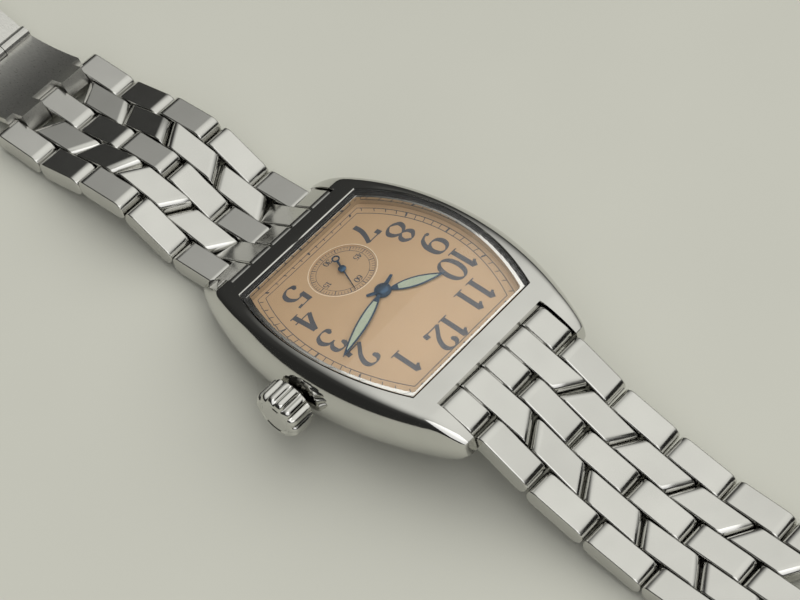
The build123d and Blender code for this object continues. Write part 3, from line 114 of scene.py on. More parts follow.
# Sizes of the dial and the hands.
DIAL_DEPTH = 2.05
DIAL_THICKNESS = 0.4
DIAL_INSET = 0.4
CENTRE_HOLE_RADIUS = 0.93
SECONDS_OFFSET = 6.7
SECONDS_DIAL_RADIUS = 4.17
SECONDS_DIAL_SINK = 0.12
SECONDS_HOLE_RADIUS = 0.31
HAND_THICKNESS = 0.1
HAND_BEVEL = 0.03
HOUR_HAND = {"length": 7.4, "width": 1.5, "tail": 2.0, "depth": 1.9, "angle": 305.0}
MINUTE_HAND = {"length": 10.5, "width": 1.35, "tail": 2.4, "depth": 1.66, "angle": 73.0}
SECONDS_HAND = {"length": 3.85, "width": 0.3, "tail": 1.5, "depth": 2.08, "angle": 22.0}
LEAF_FOOT = 0.12
LEAF_SWELL = (0.86, 0.92)
LEAF_START = 0.8
LEAF_TAIL = ((0.16, 0.0), (0.2, 0.5))
LEAF_NECK = 0.26
LUME_START = 0.9
LUME_LEAST = 0.02
LUME_SINK = (0.02, 0.015)
HUB_RADIUS = 1.0
HUB_BORE_RADIUS = 0.5
CAP_RADIUS = 0.8
CAP_HEIGHT = 0.22
CAP_EDGE = 0.05
NEEDLE_PLAY = 0.01
NEEDLE_DISC_RADIUS = 0.5
NEEDLE_RING_RADII = (0.33, 0.5)
NEEDLE_WAIST = 0.7
NEEDLE_TIP = 0.03
NEEDLE_DOME = ((0.3, 0.06), (0, 0.07))

# Places on the bridges of the movement.
BRIDGE_BOTTOM_DEPTH = 6.5
BRIDGE_SCREW_PLACES = ((-7.6, 4.2), (-8.5, -1.0), (10.7, 1.7), (-7.0, -6.5), (-2.8, -10.0), (3.0, -10.6),
                       (10.2, -3.9))
BRIDGE_SCREW_SIZES = (0.5, 0.09, 0.05)
BRIDGE_SCREW_TURN = 47
SCREW_EDGE_SHARE, SCREW_SLOT_SHARE = 0.15, 0.32
SLOT_LENGTH, SLOT_BOTTOM = 4, -2
JEWEL_SECTION = [(0.14, 0), (0.42, 0), (0.42, -0.04), (0.2, -0.05), (0.14, -0.03)]
JEWELLED_JOINTS = ("third_turn", "seconds_turn", "escape_turn", "pallet_rock", "balance_swing")

# Sizes of the crown. Its rows are distance, how far inside its radius, and share of the flutes' depth.
CROWN_START = 16.1
CROWN_END = 19.4
CROWN_RADIUS = 3.2
CROWN_DEPTH = 4.75
CROWN_BORE_RADIUS = 1.35
CROWN_BORE_DEPTH = 1.5
CROWN_BORE_MIDDLE = 0.5
CROWN_FLUTES = 14
CROWN_FLUTE_STEPS = 14
CROWN_FLUTE_SHARPNESS = 2.2
CROWN_TUBE_RADIUS = 1.0
CROWN_TUBE_SPAN = (10, 20)
CROWN_CORNER = 0.78
CROWN_CORNER_SPAN = 0.97
CROWN_CORNER_FADE = 0.6
CROWN_ENTRY = ((0.0, 0.3, 0.0), (0.12, 0.08, 0.5), (0.3, 0.0, 1.0))
CROWN_BELT = (0.25, 0.5, 0.7)
CROWN_FACE = ((0.0, 0.93), (0.1, 0.88), (0.1, 0.8), (0.0, 0.74), (0.0, 0.3))

# Sizes of the bracelet.
BRACELET_WIDTH = 17.4
COLUMN_GAP = 0.12
COLUMNS = 5
COLUMN_WIDTH = (BRACELET_WIDTH - (COLUMNS - 1) * COLUMN_GAP) / COLUMNS
COLUMN_STEP = COLUMN_WIDTH + COLUMN_GAP
HALF_PITCH = 4.12
LINK_HALF = 1.4
LINK_END_RADIUS = 1.98
LINK_SHOULDER = 1.25
LINK_LIP_SHARE = 0.3
LINK_RIM_BEND = 1.2
PIN_RADIUS = 0.42
PIN_DOME = ((0, 0.04), (0.7, 0.03), (1, -0.02))
PIN_BORE_RADIUS = 0.45
SPRING_BAR_BORE_RADIUS = 0.76
MITRE = tan(radians(31.0))
END_LINK_REACH = 5.5
END_LINK_HEEL = 1.85
CORE_PINS = (0.1, 0.6)
CORE_ENDS = {"radius": 1.7, "heel": 1.6}
CORE_INSET = 0.4
CORE_BEVEL = 0.05
CORE_HEIGHT_SHARE = 0.8
STRANDS = {"12": 1, "6": -1}
ROWS = 5

# The dial's print: places of the numbers, rails, ties and pens.
NUMBER_PLACES = {
    "12": (0, 10.1), "1": (5.9, 9.1), "2": (8.1, 4.5), "3": (8.8, 0), "4": (8.1, -4.7), "5": (5.9, -8.7),
    "7": (-5.9, -8.7), "8": (-8.1, -4.7), "9": (-8.8, 0), "10": (-8.1, 4.5), "11": (-5.9, 9.1),
}
SECONDS_NUMBERS = {"60": 0, "15": 90, "30": 180, "45": 270}
SECONDS_NUMBER_DISTANCE = 2.62
PRINT_RISE = 0.012
RAIL_INSETS = (1.25, 1.95)
RAIL_WIDTH = 0.1
RAIL_STEPS = (20, 60)
TIE_LENGTH = 0.72
TIE_WIDTHS = {"ties": 0.1, "bold_ties": 0.24}
SECONDS_RAIL_RADII = (3.95, 3.3)
SECONDS_RAIL_WIDTH = 0.05
SECONDS_TICKS = {1: (0.4, 0.05, 3.72), 5: (0.62, 0.1, 3.62)}
# Width of the painted highlight along the edge of the sunk seconds dial.
SECONDS_EDGE_WIDTH = 0.1
HOUR_PEN = (0.175, 0.045)
SECONDS_PEN = (0.16, 0.07)
PEN_SWELL = 1.3

# Strokes of each digit in a box one unit high, drawn with a broad pen, and round ends as x, y, radius.
DIGITS = {
    "0": ([[(0.31, 1), (0.11, 0.85), (0.04, 0.5), (0.11, 0.15), (0.31, 0), (0.51, 0.15), (0.58, 0.5),
            (0.51, 0.85), (0.31, 1)]], []),
    "1": ([[(0.14, 0.80), (0.24, 0.86), (0.34, 1)], [(0.34, 0.97), (0.34, 0.5), (0.34, 0.0)],
           [(0.16, 0.02), (0.52, 0.02)]], []),
    "2": ([[(0.10, 0.76), (0.13, 0.92), (0.30, 1), (0.48, 0.92), (0.53, 0.74), (0.42, 0.46), (0.20, 0.2),
            (0.05, 0.03)], [(0.04, 0.04), (0.34, 0.04), (0.58, 0.04)], [(0.58, 0.0), (0.60, 0.2)]],
          [(0.12, 0.76, 0.075)]),
    "3": ([[(0.09, 0.82), (0.16, 0.96), (0.31, 1), (0.47, 0.92), (0.49, 0.73), (0.38, 0.59), (0.24, 0.55)],
           [(0.24, 0.55), (0.46, 0.5), (0.57, 0.29), (0.47, 0.07), (0.27, 0), (0.11, 0.05), (0.06, 0.2)]],
          [(0.11, 0.82, 0.07), (0.09, 0.19, 0.075)]),
    "4": ([[(0.43, 1), (0.24, 0.64), (0.03, 0.31)], [(0.03, 0.30), (0.64, 0.30)],
           [(0.44, 1), (0.44, 0.5), (0.44, 0)], [(0.28, 0.02), (0.60, 0.02)]], []),
    "5": ([[(0.16, 0.97), (0.54, 0.97)], [(0.56, 0.90), (0.55, 1.0)], [(0.17, 1), (0.14, 0.78), (0.12, 0.53)],
           [(0.12, 0.55), (0.28, 0.64), (0.46, 0.59), (0.57, 0.37), (0.50, 0.12), (0.29, 0), (0.11, 0.05),
            (0.05, 0.18)]], [(0.09, 0.17, 0.075)]),
    "7": ([[(0.07, 0.78), (0.06, 1)], [(0.05, 0.96), (0.58, 0.96)],
           [(0.58, 0.97), (0.42, 0.66), (0.31, 0.34), (0.29, 0)]], []),
    "8": ([[(0.31, 0.55), (0.13, 0.65), (0.10, 0.84), (0.31, 1), (0.51, 0.85), (0.49, 0.66), (0.31, 0.55)],
           [(0.31, 0.55), (0.09, 0.42), (0.05, 0.17), (0.31, 0), (0.57, 0.17), (0.53, 0.42), (0.31, 0.55)]],
          []),
    "9": ([[(0.56, 0.68), (0.49, 0.92), (0.30, 1), (0.11, 0.9), (0.05, 0.68), (0.13, 0.47), (0.31, 0.40),
            (0.48, 0.49), (0.56, 0.68)], [(0.56, 0.72), (0.55, 0.40), (0.40, 0.12), (0.14, 0.01)]],
          [(0.13, 0.06, 0.07)]),
}
DIGIT_WIDTH_SHARE = 0.62
WIDE_ADVANCE, NARROW_ADVANCE = 1.02, 0.9
SIX_TURNED_FROM = "9"

LENGTH = {"subtype": "DISTANCE", "unit": "LENGTH", "precision": 5}
COLOUR = {"size": 3, "subtype": "COLOR", "min": 0, "max": 1}


class WatchSizes(bpy.types.PropertyGroup):
    """Sizes of the details that the looks add to the frame."""

    rim_bevel: bpy.props.FloatProperty(
        name="Rim bevel", description="Width of the bright bevel round the crystal", default=0.16 * MM,
        **LENGTH)
    edge_softness: bpy.props.FloatProperty(
        name="Case edge softness", description="How far the case's edges are rounded", default=0.55 * MM,
        **LENGTH)
    link_bevel: bpy.props.FloatProperty(
        name="Link bevel", description="Width of the bevel along a link's sides", default=0.2 * MM, **LENGTH)
    number_height: bpy.props.FloatProperty(
        name="Number height", description="Height of the hour numbers", default=3.7 * MM, **LENGTH)
    small_number_height: bpy.props.FloatProperty(
        name="Small number height", description="Height of the numbers of the seconds dial", default=0.8 * MM,
        **LENGTH)
    flute_depth: bpy.props.FloatProperty(
        name="Flute depth", description="Depth of the crown's flutes", default=0.34 * MM, **LENGTH)
    hand_outline: bpy.props.FloatProperty(
        name="Hand outline", description="Width of the blued border of a hand", default=0.2 * MM, **LENGTH)


class WatchColours(bpy.types.PropertyGroup):
    """Colours of the watch and its stage."""

    steel: bpy.props.FloatVectorProperty(
        name="Steel", description="Polished steel", default=(0.63, 0.625, 0.6), **COLOUR)
    dial: bpy.props.FloatVectorProperty(
        name="Dial", description="Satin copper of the dial", default=(0.5, 0.34, 0.2), **COLOUR)
    print_grey: bpy.props.FloatVectorProperty(
        name="Print", description="Slate grey of the dial's print", default=(0.06, 0.063, 0.075), **COLOUR)
    blued: bpy.props.FloatVectorProperty(
        name="Blued steel", description="Blued steel of the hands", default=(0.035, 0.075, 0.13), **COLOUR)
    lume: bpy.props.FloatVectorProperty(
        name="Lume", description="Pale paint inside the hands", default=(0.38, 0.43, 0.33), **COLOUR)
    floor: bpy.props.FloatVectorProperty(
        name="Floor", description="Pale floor", default=(0.6, 0.6, 0.54), **COLOUR)


class WatchStage(bpy.types.PropertyGroup):
    """Camera and light."""

    lens: bpy.props.FloatProperty(
        name="Lens", description="Focal length on a 36 mm sensor", default=109.86, subtype="DISTANCE_CAMERA")
    key_power: bpy.props.FloatProperty(
        name="Key power", description="Power of the key softbox", default=5.2, subtype="POWER", unit="POWER")
    fill_power: bpy.props.FloatProperty(
        name="Fill power", description="Power of the fill softbox", default=3.4, subtype="POWER",
        unit="POWER")
    sky_strength: bpy.props.FloatProperty(
        name="Sky strength", description="Strength of the soft light from above", default=1.0, min=0)


# Frames of the head and of the bracelet's links.


def joint_of(name):
    return next(joint for joint in RECORD["behaviour"]["joints"] if joint["name"] == name)


def pin_point(name):
    return Vector(joint_of(name)["pos_m"])


def head_matrix():
    """Millimetres in the head's own frame to metres in the row's."""
    joint = joint_of("minute_turn")
    z = Vector(joint["axis"]).normalized()
    x = Vector((1, 0, 0))
    y = z.cross(x).normalized()
    origin = Vector(joint["pos_m"]) + z * HEAD_ORIGIN_DEPTH * MM
    turn = Matrix((x, y, z)).transposed().to_4x4()
    return Matrix.Translation(origin) @ turn @ Matrix.Scale(MM, 4)


def strand_pins(end):
    """Places of the spring bar and the pins of one strand, outwards."""
    points = [pin_point(f"spring_bar_{end}")]
    points += [pin_point(f"pin_{end}_{step}") for step in range(1, 2 * ROWS)]
    low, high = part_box(f"link_row_{end}_{ROWS}")
    middle = (Vector(low) + Vector(high)) / 2
    middle.x = points[-1].x
    points.append(2 * middle - points[-1])
    return points


def link_matrix(end, first, second):
    """Frame of a link: +Y from its first pin to its second, +Z out of its top."""
    x = Vector((STRANDS[end], 0, 0))
    y = (second - first).normalized()
    z = x.cross(y)
    turn = Matrix((x, y, z)).transposed().to_4x4()
    return Matrix.Translation(first) @ turn @ Matrix.Scale(MM, 4)


HEAD = head_matrix()


# Mesh helpers. Points are in millimetres until a piece is placed.


def linked(name, data):
    """New object in the scene."""
    thing = bpy.data.objects.new(name, data)
    bpy.context.scene.collection.objects.link(thing)
    return thing


def mesh_of(name, points, faces):
    mesh = bpy.data.meshes.new(name)
    mesh.from_pydata([tuple(point) for point in points], [], faces)
    return mesh


def written(name, work):
    """New mesh from a bmesh, which is freed."""
    mesh = bpy.data.meshes.new(name)
    work.to_mesh(mesh)
    work.free()
    return mesh


def edited(mesh, step):
    """Runs one step on a mesh through bmesh."""
    work = bmesh.new()
    work.from_mesh(mesh)
    step(work)
    work.to_mesh(mesh)
    work.free()
    return mesh


def outward_faces(work):
    bmesh.ops.recalc_face_normals(work, faces=work.faces)


def joined(name, meshes):
    """One mesh from several."""
    work = bmesh.new()
    for mesh in meshes:
        work.from_mesh(mesh)
    return written(name, work)


def placed(mesh, matrix):
    copy = mesh.copy()
    copy.transform(matrix)
    return copy


def evaluated(holder):
    """Plain mesh of an object after its modifiers; the object is removed."""
    graph = bpy.context.evaluated_depsgraph_get()
    result = bpy.data.meshes.new_from_object(holder.evaluated_get(graph))
    bpy.data.objects.remove(holder)
    return result


def with_modifier(mesh, kind, **settings):
    """Mesh after one modifier."""
    holder = linked("holder", mesh)
    modifier = holder.modifiers.new(kind, kind)
    for name, value in settings.items():
        setattr(modifier, name, value)
    return evaluated(holder)


def finish(name, mesh, matrix, look, body, replaced=(), sharp=32.0):
    """Places a mesh in the row's frame as a finished piece of a body."""
    mesh.transform(matrix)
    mesh.shade_smooth()
    mesh.set_sharp_from_angle(angle=radians(sharp))
    mesh = with_modifier(mesh, "WEIGHTED_NORMAL", keep_sharp=True)
    mesh.name = name
    mesh.materials.clear()
    mesh.materials.append(finish_of(look))
    piece = linked(name, mesh)
    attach(piece, body)
    if replaced:
        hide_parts(*replaced)
    return piece


def cut(mesh, *tools):
    """Mesh less some closed tool meshes."""
    for tool in tools:
        holder = linked("tool", tool)
        mesh = with_modifier(mesh, "BOOLEAN", operation="DIFFERENCE", solver="EXACT", object=holder)
        bpy.data.objects.remove(holder)
    return mesh


def ring_faces(a, b, count):
    """Faces of a band between two rings of points that start at a and at b."""
    return [(a + k, a + (k + 1) % count, b + (k + 1) % count, b + k) for k in range(count)]


def block(name, length, width, low, high):
    """Box about the Z axis."""
    x, y = length / 2, width / 2
    points = [(a, b, z) for z in (low, high) for a, b in ((-x, -y), (x, -y), (x, y), (-x, y))]
    return mesh_of(name, points, [(3, 2, 1, 0), (4, 5, 6, 7)] + ring_faces(0, 4, 4))


def prism_x(name, outline, x0, x1):
    """Solid along X from an outline of (y, z) points."""
    count = len(outline)
    points = [(x, y, z) for x in (x0, x1) for y, z in outline]
    faces = [tuple(range(count)), tuple(range(2 * count - 1, count - 1, -1))] + ring_faces(0, count, count)
    return edited(mesh_of(name, points, faces), outward_faces)


def circle(radius, cx, cy, steps):
    angles = [2 * pi * k / steps for k in range(steps)]
    return [(cx + radius * cos(angle), cy + radius * sin(angle)) for angle in angles]


def lathe(name, profile, steps, closed=False):
    """Turned solid about Z from (radius, height) points; a radius of zero closes at the axis."""
    points, rings = [], []
    for radius, height in profile:
        first = len(points)
        if radius == 0:
            rings.append([first] * steps)
            points.append((0, 0, height))
        else:
            rings.append(list(range(first, first + steps)))
            points += [(x, y, height) for x, y in circle(radius, 0, 0, steps)]
    faces = []
    for low, high in list(zip(rings, rings[1:])) + ([(rings[-1], rings[0])] if closed else []):
        for k in range(steps):
            corners = [low[k], low[(k + 1) % steps], high[(k + 1) % steps], high[k]]
            face = tuple(dict.fromkeys(corners))
            if len(face) > 2:
                faces.append(face)
    return edited(mesh_of(name, points, faces), outward_faces)


def along_x(rod, y, z):
    """Turns a mesh about Z into one along X, at a place."""
    rod.transform(Matrix.Translation((0, y, z)) @ Matrix.Rotation(pi / 2, 4, "Y"))
    return rod


def rod_x(name, radius, x0, x1, y, z, steps=32):
    return along_x(lathe(name, [(0, x0), (radius, x0), (radius, x1), (0, x1)], steps), y, z)


def arc_points(a, b, c, count):
    """Points of the arc from a through b to c."""
    ax, ay, bx, by, cx, cy = *a, *b, *c
    d = 2 * (ax * (by - cy) + bx * (cy - ay) + cx * (ay - by))
    sa, sb, sc = ax * ax + ay * ay, bx * bx + by * by, cx * cx + cy * cy
    ux = (sa * (by - cy) + sb * (cy - ay) + sc * (ay - by)) / d
    uy = (sa * (cx - bx) + sb * (ax - cx) + sc * (bx - ax)) / d
    radius = hypot(ax - ux, ay - uy)
    first = atan2(ay - uy, ax - ux)
    middle = (atan2(by - uy, bx - ux) - first) % (2 * pi)
    last = (atan2(cy - uy, cx - ux) - first) % (2 * pi)
    if middle > last:
        last -= 2 * pi
    return [(ux + radius * cos(first + last * k / count), uy + radius * sin(first + last * k / count))
            for k in range(count + 1)]


def tonneau(half_length, half_width, corner, straight_steps, bowed_steps):
    """Outline with straight ends and bowed sides, anticlockwise from the 12 o'clock end's right corner."""
    l, w, c = half_length, half_width, corner
    end = [(c - 2 * c * k / straight_steps, l) for k in range(straight_steps)]
    left = arc_points((-c, l), (-w, 0), (-c, -l), bowed_steps)[:-1]
    return end + left + [(-x, -y) for x, y in end] + [(-x, -y) for x, y in left]


def inset(sizes, amount):
    return tuple(size - amount for size in sizes)


def layer_height(depth, y):
    """Height of a layer that follows the case's curved top."""
    return sqrt((TOP_RADIUS - depth) ** 2 - y * y) - TOP_RADIUS


def layer(depth):
    """Height of a layer over a place of the head."""
    return lambda x, y: layer_height(depth, y)


def curved_plate(name, outer, holes, top, bottom, bands=1.0):
    """Plate between two curved layers, from flat outlines."""
    work = bmesh.new()
    edges = []
    for outline in [outer] + holes:
        ring = [work.verts.new((x, y, 0)) for x, y in outline]
        edges += [work.edges.new((a, b)) for a, b in zip(ring, ring[1:] + ring[:1])]
    bmesh.ops.triangle_fill(work, edges=edges, use_beauty=True, use_dissolve=False)
    reach = max(y for _, y in outer)
    steps = max(2, int(2 * reach / bands))
    for step in range(1, steps):
        height = -reach + 2 * reach * step / steps
        parts = work.verts[:] + work.edges[:] + work.faces[:]
        bmesh.ops.bisect_plane(work, geom=parts, plane_co=(0, height, 0), plane_no=(0, 1, 0), dist=1e-6)
    for face in work.faces:
        if face.normal.z < 0:
            face.normal_flip()
    below = bmesh.ops.extrude_face_region(work, geom=work.faces[:])
    low = {item for item in below["geom"] if isinstance(item, bmesh.types.BMVert)}
    for vert in work.verts:
        vert.co.z = (bottom if vert in low else top)(vert.co.x, vert.co.y)
    bmesh.ops.recalc_face_normals(work, faces=work.faces)
    return written(name, work)


# Node trees: one that repeats a shape, and the materials.


def added(tree, kind, values=None, **settings):
    """New node with some settings, and values on its input sockets."""
    node = tree.nodes.new(kind)
    for name, value in settings.items():
        setattr(node, name, value)
    for label, value in (values or {}).items():
        node.inputs[label].default_value = value
    return node


def wired(tree, *wires):
    """Links nodes; each wire is a node, its output, a node and its input."""
    for source, output, target, entry in wires:
        tree.links.new(source.outputs[output], target.inputs[entry])


def group(kind, name, inputs, outputs):
    """Empty node group with named sockets."""
    tree = bpy.data.node_groups.new(name, kind)
    for way, sockets in (("INPUT", inputs), ("OUTPUT", outputs)):
        for label, socket in sockets.items():
            tree.interface.new_socket(label, in_out=way, socket_type=f"NodeSocket{socket}")
    return tree, tree.nodes.new("NodeGroupInput"), tree.nodes.new("NodeGroupOutput")


def repeat_tree():
    """Tree that puts one shape on every point, turned by the point's own turn."""
    tree = bpy.data.node_groups.get("Repeated shape")
    if tree:
        return tree
    tree, start, end = group(
        "GeometryNodeTree", "Repeated shape",
        {"Points": "Geometry", "Shape": "Object", "Size": "Float", "Finish": "Material"},
        {"Geometry": "Geometry"})
    shape = added(tree, "GeometryNodeObjectInfo")
    turn = added(tree, "GeometryNodeInputNamedAttribute", {"Name": "turn"}, data_type="FLOAT_VECTOR")
    rotation = added(tree, "FunctionNodeEulerToRotation")
    place = added(tree, "GeometryNodeInstanceOnPoints")
    realize = added(tree, "GeometryNodeRealizeInstances")
    dress = added(tree, "GeometryNodeSetMaterial")
    wired(tree, (start, "Shape", shape, "Object"), (start, "Points", place, "Points"),
          (shape, "Geometry", place, "Instance"), (turn, "Attribute", rotation, "Euler"),
          (rotation, "Rotation", place, "Rotation"), (start, "Size", place, "Scale"),
          (place, "Instances", realize, "Geometry"), (realize, "Geometry", dress, "Geometry"),
          (start, "Finish", dress, "Material"), (dress, "Geometry", end, "Geometry"))
    return tree


def repeated(name, shape, places, look, turns=None):
    """Plain mesh of a shape repeated at places, each with its own turn."""
    turns = turns or [(0, 0, 0)] * len(places)
    points = mesh_of(name, places, [])
    attribute = points.attributes.new("turn", "FLOAT_VECTOR", "POINT")
    attribute.data.foreach_set("vector", [value for turn in turns for value in turn])
    holder, carrier = linked("shape", shape), linked("points", points)
    tree = repeat_tree()
    modifier = carrier.modifiers.new("Repeated shape", "NODES")
    modifier.node_group = tree
    socket = {item.name: item.identifier for item in tree.interface.items_tree if item.in_out == "INPUT"}
    modifier[socket["Shape"]] = holder
    modifier[socket["Size"]] = 1.0
    modifier[socket["Finish"]] = finish_of(look)
    result = evaluated(carrier)
    bpy.data.objects.remove(holder)
    if not result.polygons:
        raise RuntimeError(f"{name} came out empty")
    return result


def noise(tree, scale, detail=2.0, distortion=0.0):
    """Noise in the object's own space."""
    texture = added(tree, "ShaderNodeTexNoise", {"Scale": scale, "Detail": detail, "Distortion": distortion})
    wired(tree, (added(tree, "ShaderNodeTexCoord"), "Object", texture, "Vector"))
    return texture


def wave(tree, scale, place, **settings):
    """Rings or bands in the object's own space, seen through a mapping."""
    mapping = added(tree, "ShaderNodeMapping", place)
    texture = added(tree, "ShaderNodeTexWave", {"Scale": scale})
    for name, value in settings.items():
        setattr(mapping if name == "vector_type" else texture, name, value)
    wired(tree, (added(tree, "ShaderNodeTexCoord"), "Object", mapping, "Vector"),
          (mapping, "Vector", texture, "Vector"))
    return texture


def polish_group():
    """Fine swirls of polished metal, as a shine value, a height and a tint mask."""
    tree = bpy.data.node_groups.get("Polish marks")
    if tree:
        return tree
    tree, start, end = group(
        "ShaderNodeTree", "Polish marks", dict.fromkeys(("Scale", "Base", "Spread"), "Float"),
        dict.fromkeys(("Shine", "Height", "Tint"), "Float"))
    swirl, cloud = noise(tree, 1.0, 4.0, 1.6), noise(tree, 160.0)
    spread, shine = (added(tree, "ShaderNodeMath", operation=kind) for kind in ("MULTIPLY", "ADD"))
    wired(tree, (start, "Scale", swirl, "Scale"), (swirl, "Fac", spread, 0), (start, "Spread", spread, 1),
          (spread, 0, shine, 0), (start, "Base", shine, 1), (shine, 0, end, "Shine"),
          (swirl, "Fac", end, "Height"), (cloud, "Fac", end, "Tint"))
    return tree


def grain_group():
    """Straight brushed grain along one direction."""
    tree = bpy.data.node_groups.get("Brushed grain")
    if tree:
        return tree
    tree, start, end = group("ShaderNodeTree", "Brushed grain", {"Stretch": "Vector"}, {"Grain": "Float"})
    stretch = added(tree, "ShaderNodeVectorMath", operation="MULTIPLY")
    texture = added(tree, "ShaderNodeTexNoise", {"Scale": 1.0, "Detail": 3.0})
    wired(tree, (added(tree, "ShaderNodeTexCoord"), "Object", stretch, 0), (start, "Stretch", stretch, 1),
          (stretch, 0, texture, "Vector"), (texture, "Fac", end, "Grain"))
    return tree


def new_material(name, metallic, **values):
    """Material with one Principled BSDF, and the material's tree."""
    material = bpy.data.materials.new(name)
    material.use_nodes = True
    tree = material.node_tree
    for label, value in {"Metallic": metallic, **values}.items():
        shader_input(tree, label.replace("_", " ")).default_value = value
    return material, tree


def shader_input(tree, label):
    return tree.nodes["Principled BSDF"].inputs[label]


def tinted(tree, mask, colour, darker, lighter):
    """Lets a mask move the base colour between two shades of itself."""
    ramp = added(tree, "ShaderNodeValToRGB")
    for element, share, position in zip(ramp.color_ramp.elements, (darker, lighter), (0.3, 0.7)):
        element.color = (*(min(1.0, channel * share) for channel in colour), 1)
        element.position = position
    tree.links.new(mask, ramp.inputs["Fac"])
    tree.links.new(ramp.outputs["Color"], shader_input(tree, "Base Color"))


def roughened(tree, mask, low, high, start=0.0, end=1.0):
    """Lets a mask move the roughness between two values."""
    span = added(tree, "ShaderNodeMapRange",
                 {"From Min": start, "From Max": end, "To Min": low, "To Max": high})
    tree.links.new(mask, span.inputs["Value"])
    tree.links.new(span.outputs["Result"], shader_input(tree, "Roughness"))


def bumped(tree, height, distance, strength):
    bump = added(tree, "ShaderNodeBump", {"Distance": distance, "Strength": strength})
    tree.links.new(height, bump.inputs["Height"])
    tree.links.new(bump.outputs["Normal"], shader_input(tree, "Normal"))


def marked(name, colour, metallic, scale, base, spread, tint, shades, bump):
    """Material with the polish marks in its shine, its tint and its bump."""
    material, tree = new_material(name, metallic)
    marks = added(tree, "ShaderNodeGroup", node_tree=polish_group())
    for label, value in {"Scale": scale, "Base": base, "Spread": spread}.items():
        marks.inputs[label].default_value = value
    tinted(tree, marks.outputs[tint], colour, *shades)
    tree.links.new(marks.outputs["Shine"], shader_input(tree, "Roughness"))
    bumped(tree, marks.outputs["Height"], *bump)
    return material


def metal(name, colour, base, spread, metallic=1.0, bump=0.02):
    """Polished metal with faint marks."""
    return marked(name, colour, metallic, 900.0, base, spread, "Tint", (0.96, 1.04), (1e-6, bump))


def paint(name, colour, roughness, spread):
    """Paint or print with slight unevenness."""
    return marked(name, colour, 0.0, 2500.0, roughness, spread, "Height", (0.9, 1.1), (4e-6, 0.2))


def brushed(name, colour, *stretch):
    """Brushed metal with straight grain."""
    material, tree = new_material(name, 1.0)
    grain = added(tree, "ShaderNodeGroup", node_tree=grain_group())
    grain.inputs["Stretch"].default_value = stretch
    tinted(tree, grain.outputs["Grain"], colour, 0.88, 1.08)
    roughened(tree, grain.outputs["Grain"], 0.22, 0.4)
    bumped(tree, grain.outputs["Grain"], 4e-6, 0.35)
    return material


def glass(name, colour):
    """Clear crystal with a trace of dust."""
    material, tree = new_material(name, 0.0, Transmission_Weight=1.0, IOR=1.45, Base_Color=(*colour, 1))
    roughened(tree, noise(tree, 700.0).outputs["Fac"], 0.0, 0.03, 0.55, 0.9)
    return material


def satin(name, colour):
    """Satin copper with a fine grain."""
    material, tree = new_material(name, 0.15)
    grain = noise(tree, 14000.0).outputs["Fac"]
    tinted(tree, noise(tree, 120.0).outputs["Fac"], colour, 0.97, 1.03)
    roughened(tree, grain, 0.34, 0.5)
    bumped(tree, grain, 3e-6, 0.25)
    return material


def turned_rings(name, colour, centre, pitch):
    """Satin copper with fine turned rings about a point of the head."""
    material, tree = new_material(name, 0.2)
    place = {"Location": HEAD @ Vector(centre), "Rotation": HEAD.to_3x3().normalized().to_euler()}
    rings = wave(tree, pi / (10 * pitch * MM), place, wave_type="RINGS", rings_direction="Z",
                 vector_type="TEXTURE").outputs["Fac"]
    roughened(tree, rings, 0.3, 0.46)
    tinted(tree, rings, colour, 0.94, 1.05)
    bumped(tree, rings, 6e-6, 0.4)
    return material


def striped(name, colour):
    """Bridges with broad polished stripes."""
    material, tree = new_material(name, 1.0)
    stripes = wave(tree, 130.0, {"Rotation": (0, 0, radians(45))}, wave_profile="SAW").outputs["Fac"]
    roughened(tree, stripes, 0.18, 0.42)
    tinted(tree, stripes, colour, 0.88, 1.06)
    bumped(tree, stripes, 1e-5, 0.3)
    return material


# Each finish: what makes it, its material's name, its colour or that colour's property, and its values.
FINISHES = {
    "polished_steel": (metal, "polished_steel", "steel", 0.05, 0.05),
    "link_steel": (metal, "link_steel", "steel", 0.12, 0.1, 1.0, 0.05),
    "brushed_steel": (brushed, "brushed_steel", "steel", 9000.0, 250.0, 9000.0),
    "crystal": (glass, "crystal_glass", (1, 1, 1)),
    "dial": (satin, "dial_copper", "dial"),
    "seconds_rings": (turned_rings, "seconds_rings", "dial", (0, -SECONDS_OFFSET, 0), 0.14),
    "print": (paint, "dial_print", "print_grey", 0.4, 0.2),
    # Pale copper painted along the edge of the sunk seconds dial: a painted highlight where the step's edge
    # catches light.
    "pale_line": (paint, "pale_line", (0.78, 0.66, 0.5), 0.35, 0.2),
    "blued": (metal, "blued_steel", "blued", 0.16, 0.1, 0.75),
    "lume": (paint, "lume_paint", "lume", 0.55, 0.3),
    "brass": (brushed, "gilt_brass", (0.72, 0.52, 0.22), 4000.0, 4000.0, 400.0),
    "bridges": (striped, "striped_bridges", (0.6, 0.6, 0.58)),
    "wheels": (brushed, "wheel_steel", (0.58, 0.58, 0.58), 5000.0, 5000.0, 500.0),
    "spring": (metal, "spring_steel", (0.1, 0.16, 0.3), 0.2, 0.1),
    "ruby": (paint, "ruby", (0.42, 0.01, 0.05), 0.08, 0.05),
    "rubber": (paint, "gasket_rubber", (0.02, 0.02, 0.02), 0.5, 0.3),
}
FINISHED = {}


def finish_of(look):
    """One of the watch's materials, made when it is first asked for."""
    if look not in FINISHED:
        make, name, colour, *values = FINISHES[look]
        if isinstance(colour, str):
            colour = tuple(getattr(bpy.context.scene.watch_colours, colour))
        FINISHED[look] = make(name, colour, *values)
    return FINISHED[look]


# The case.


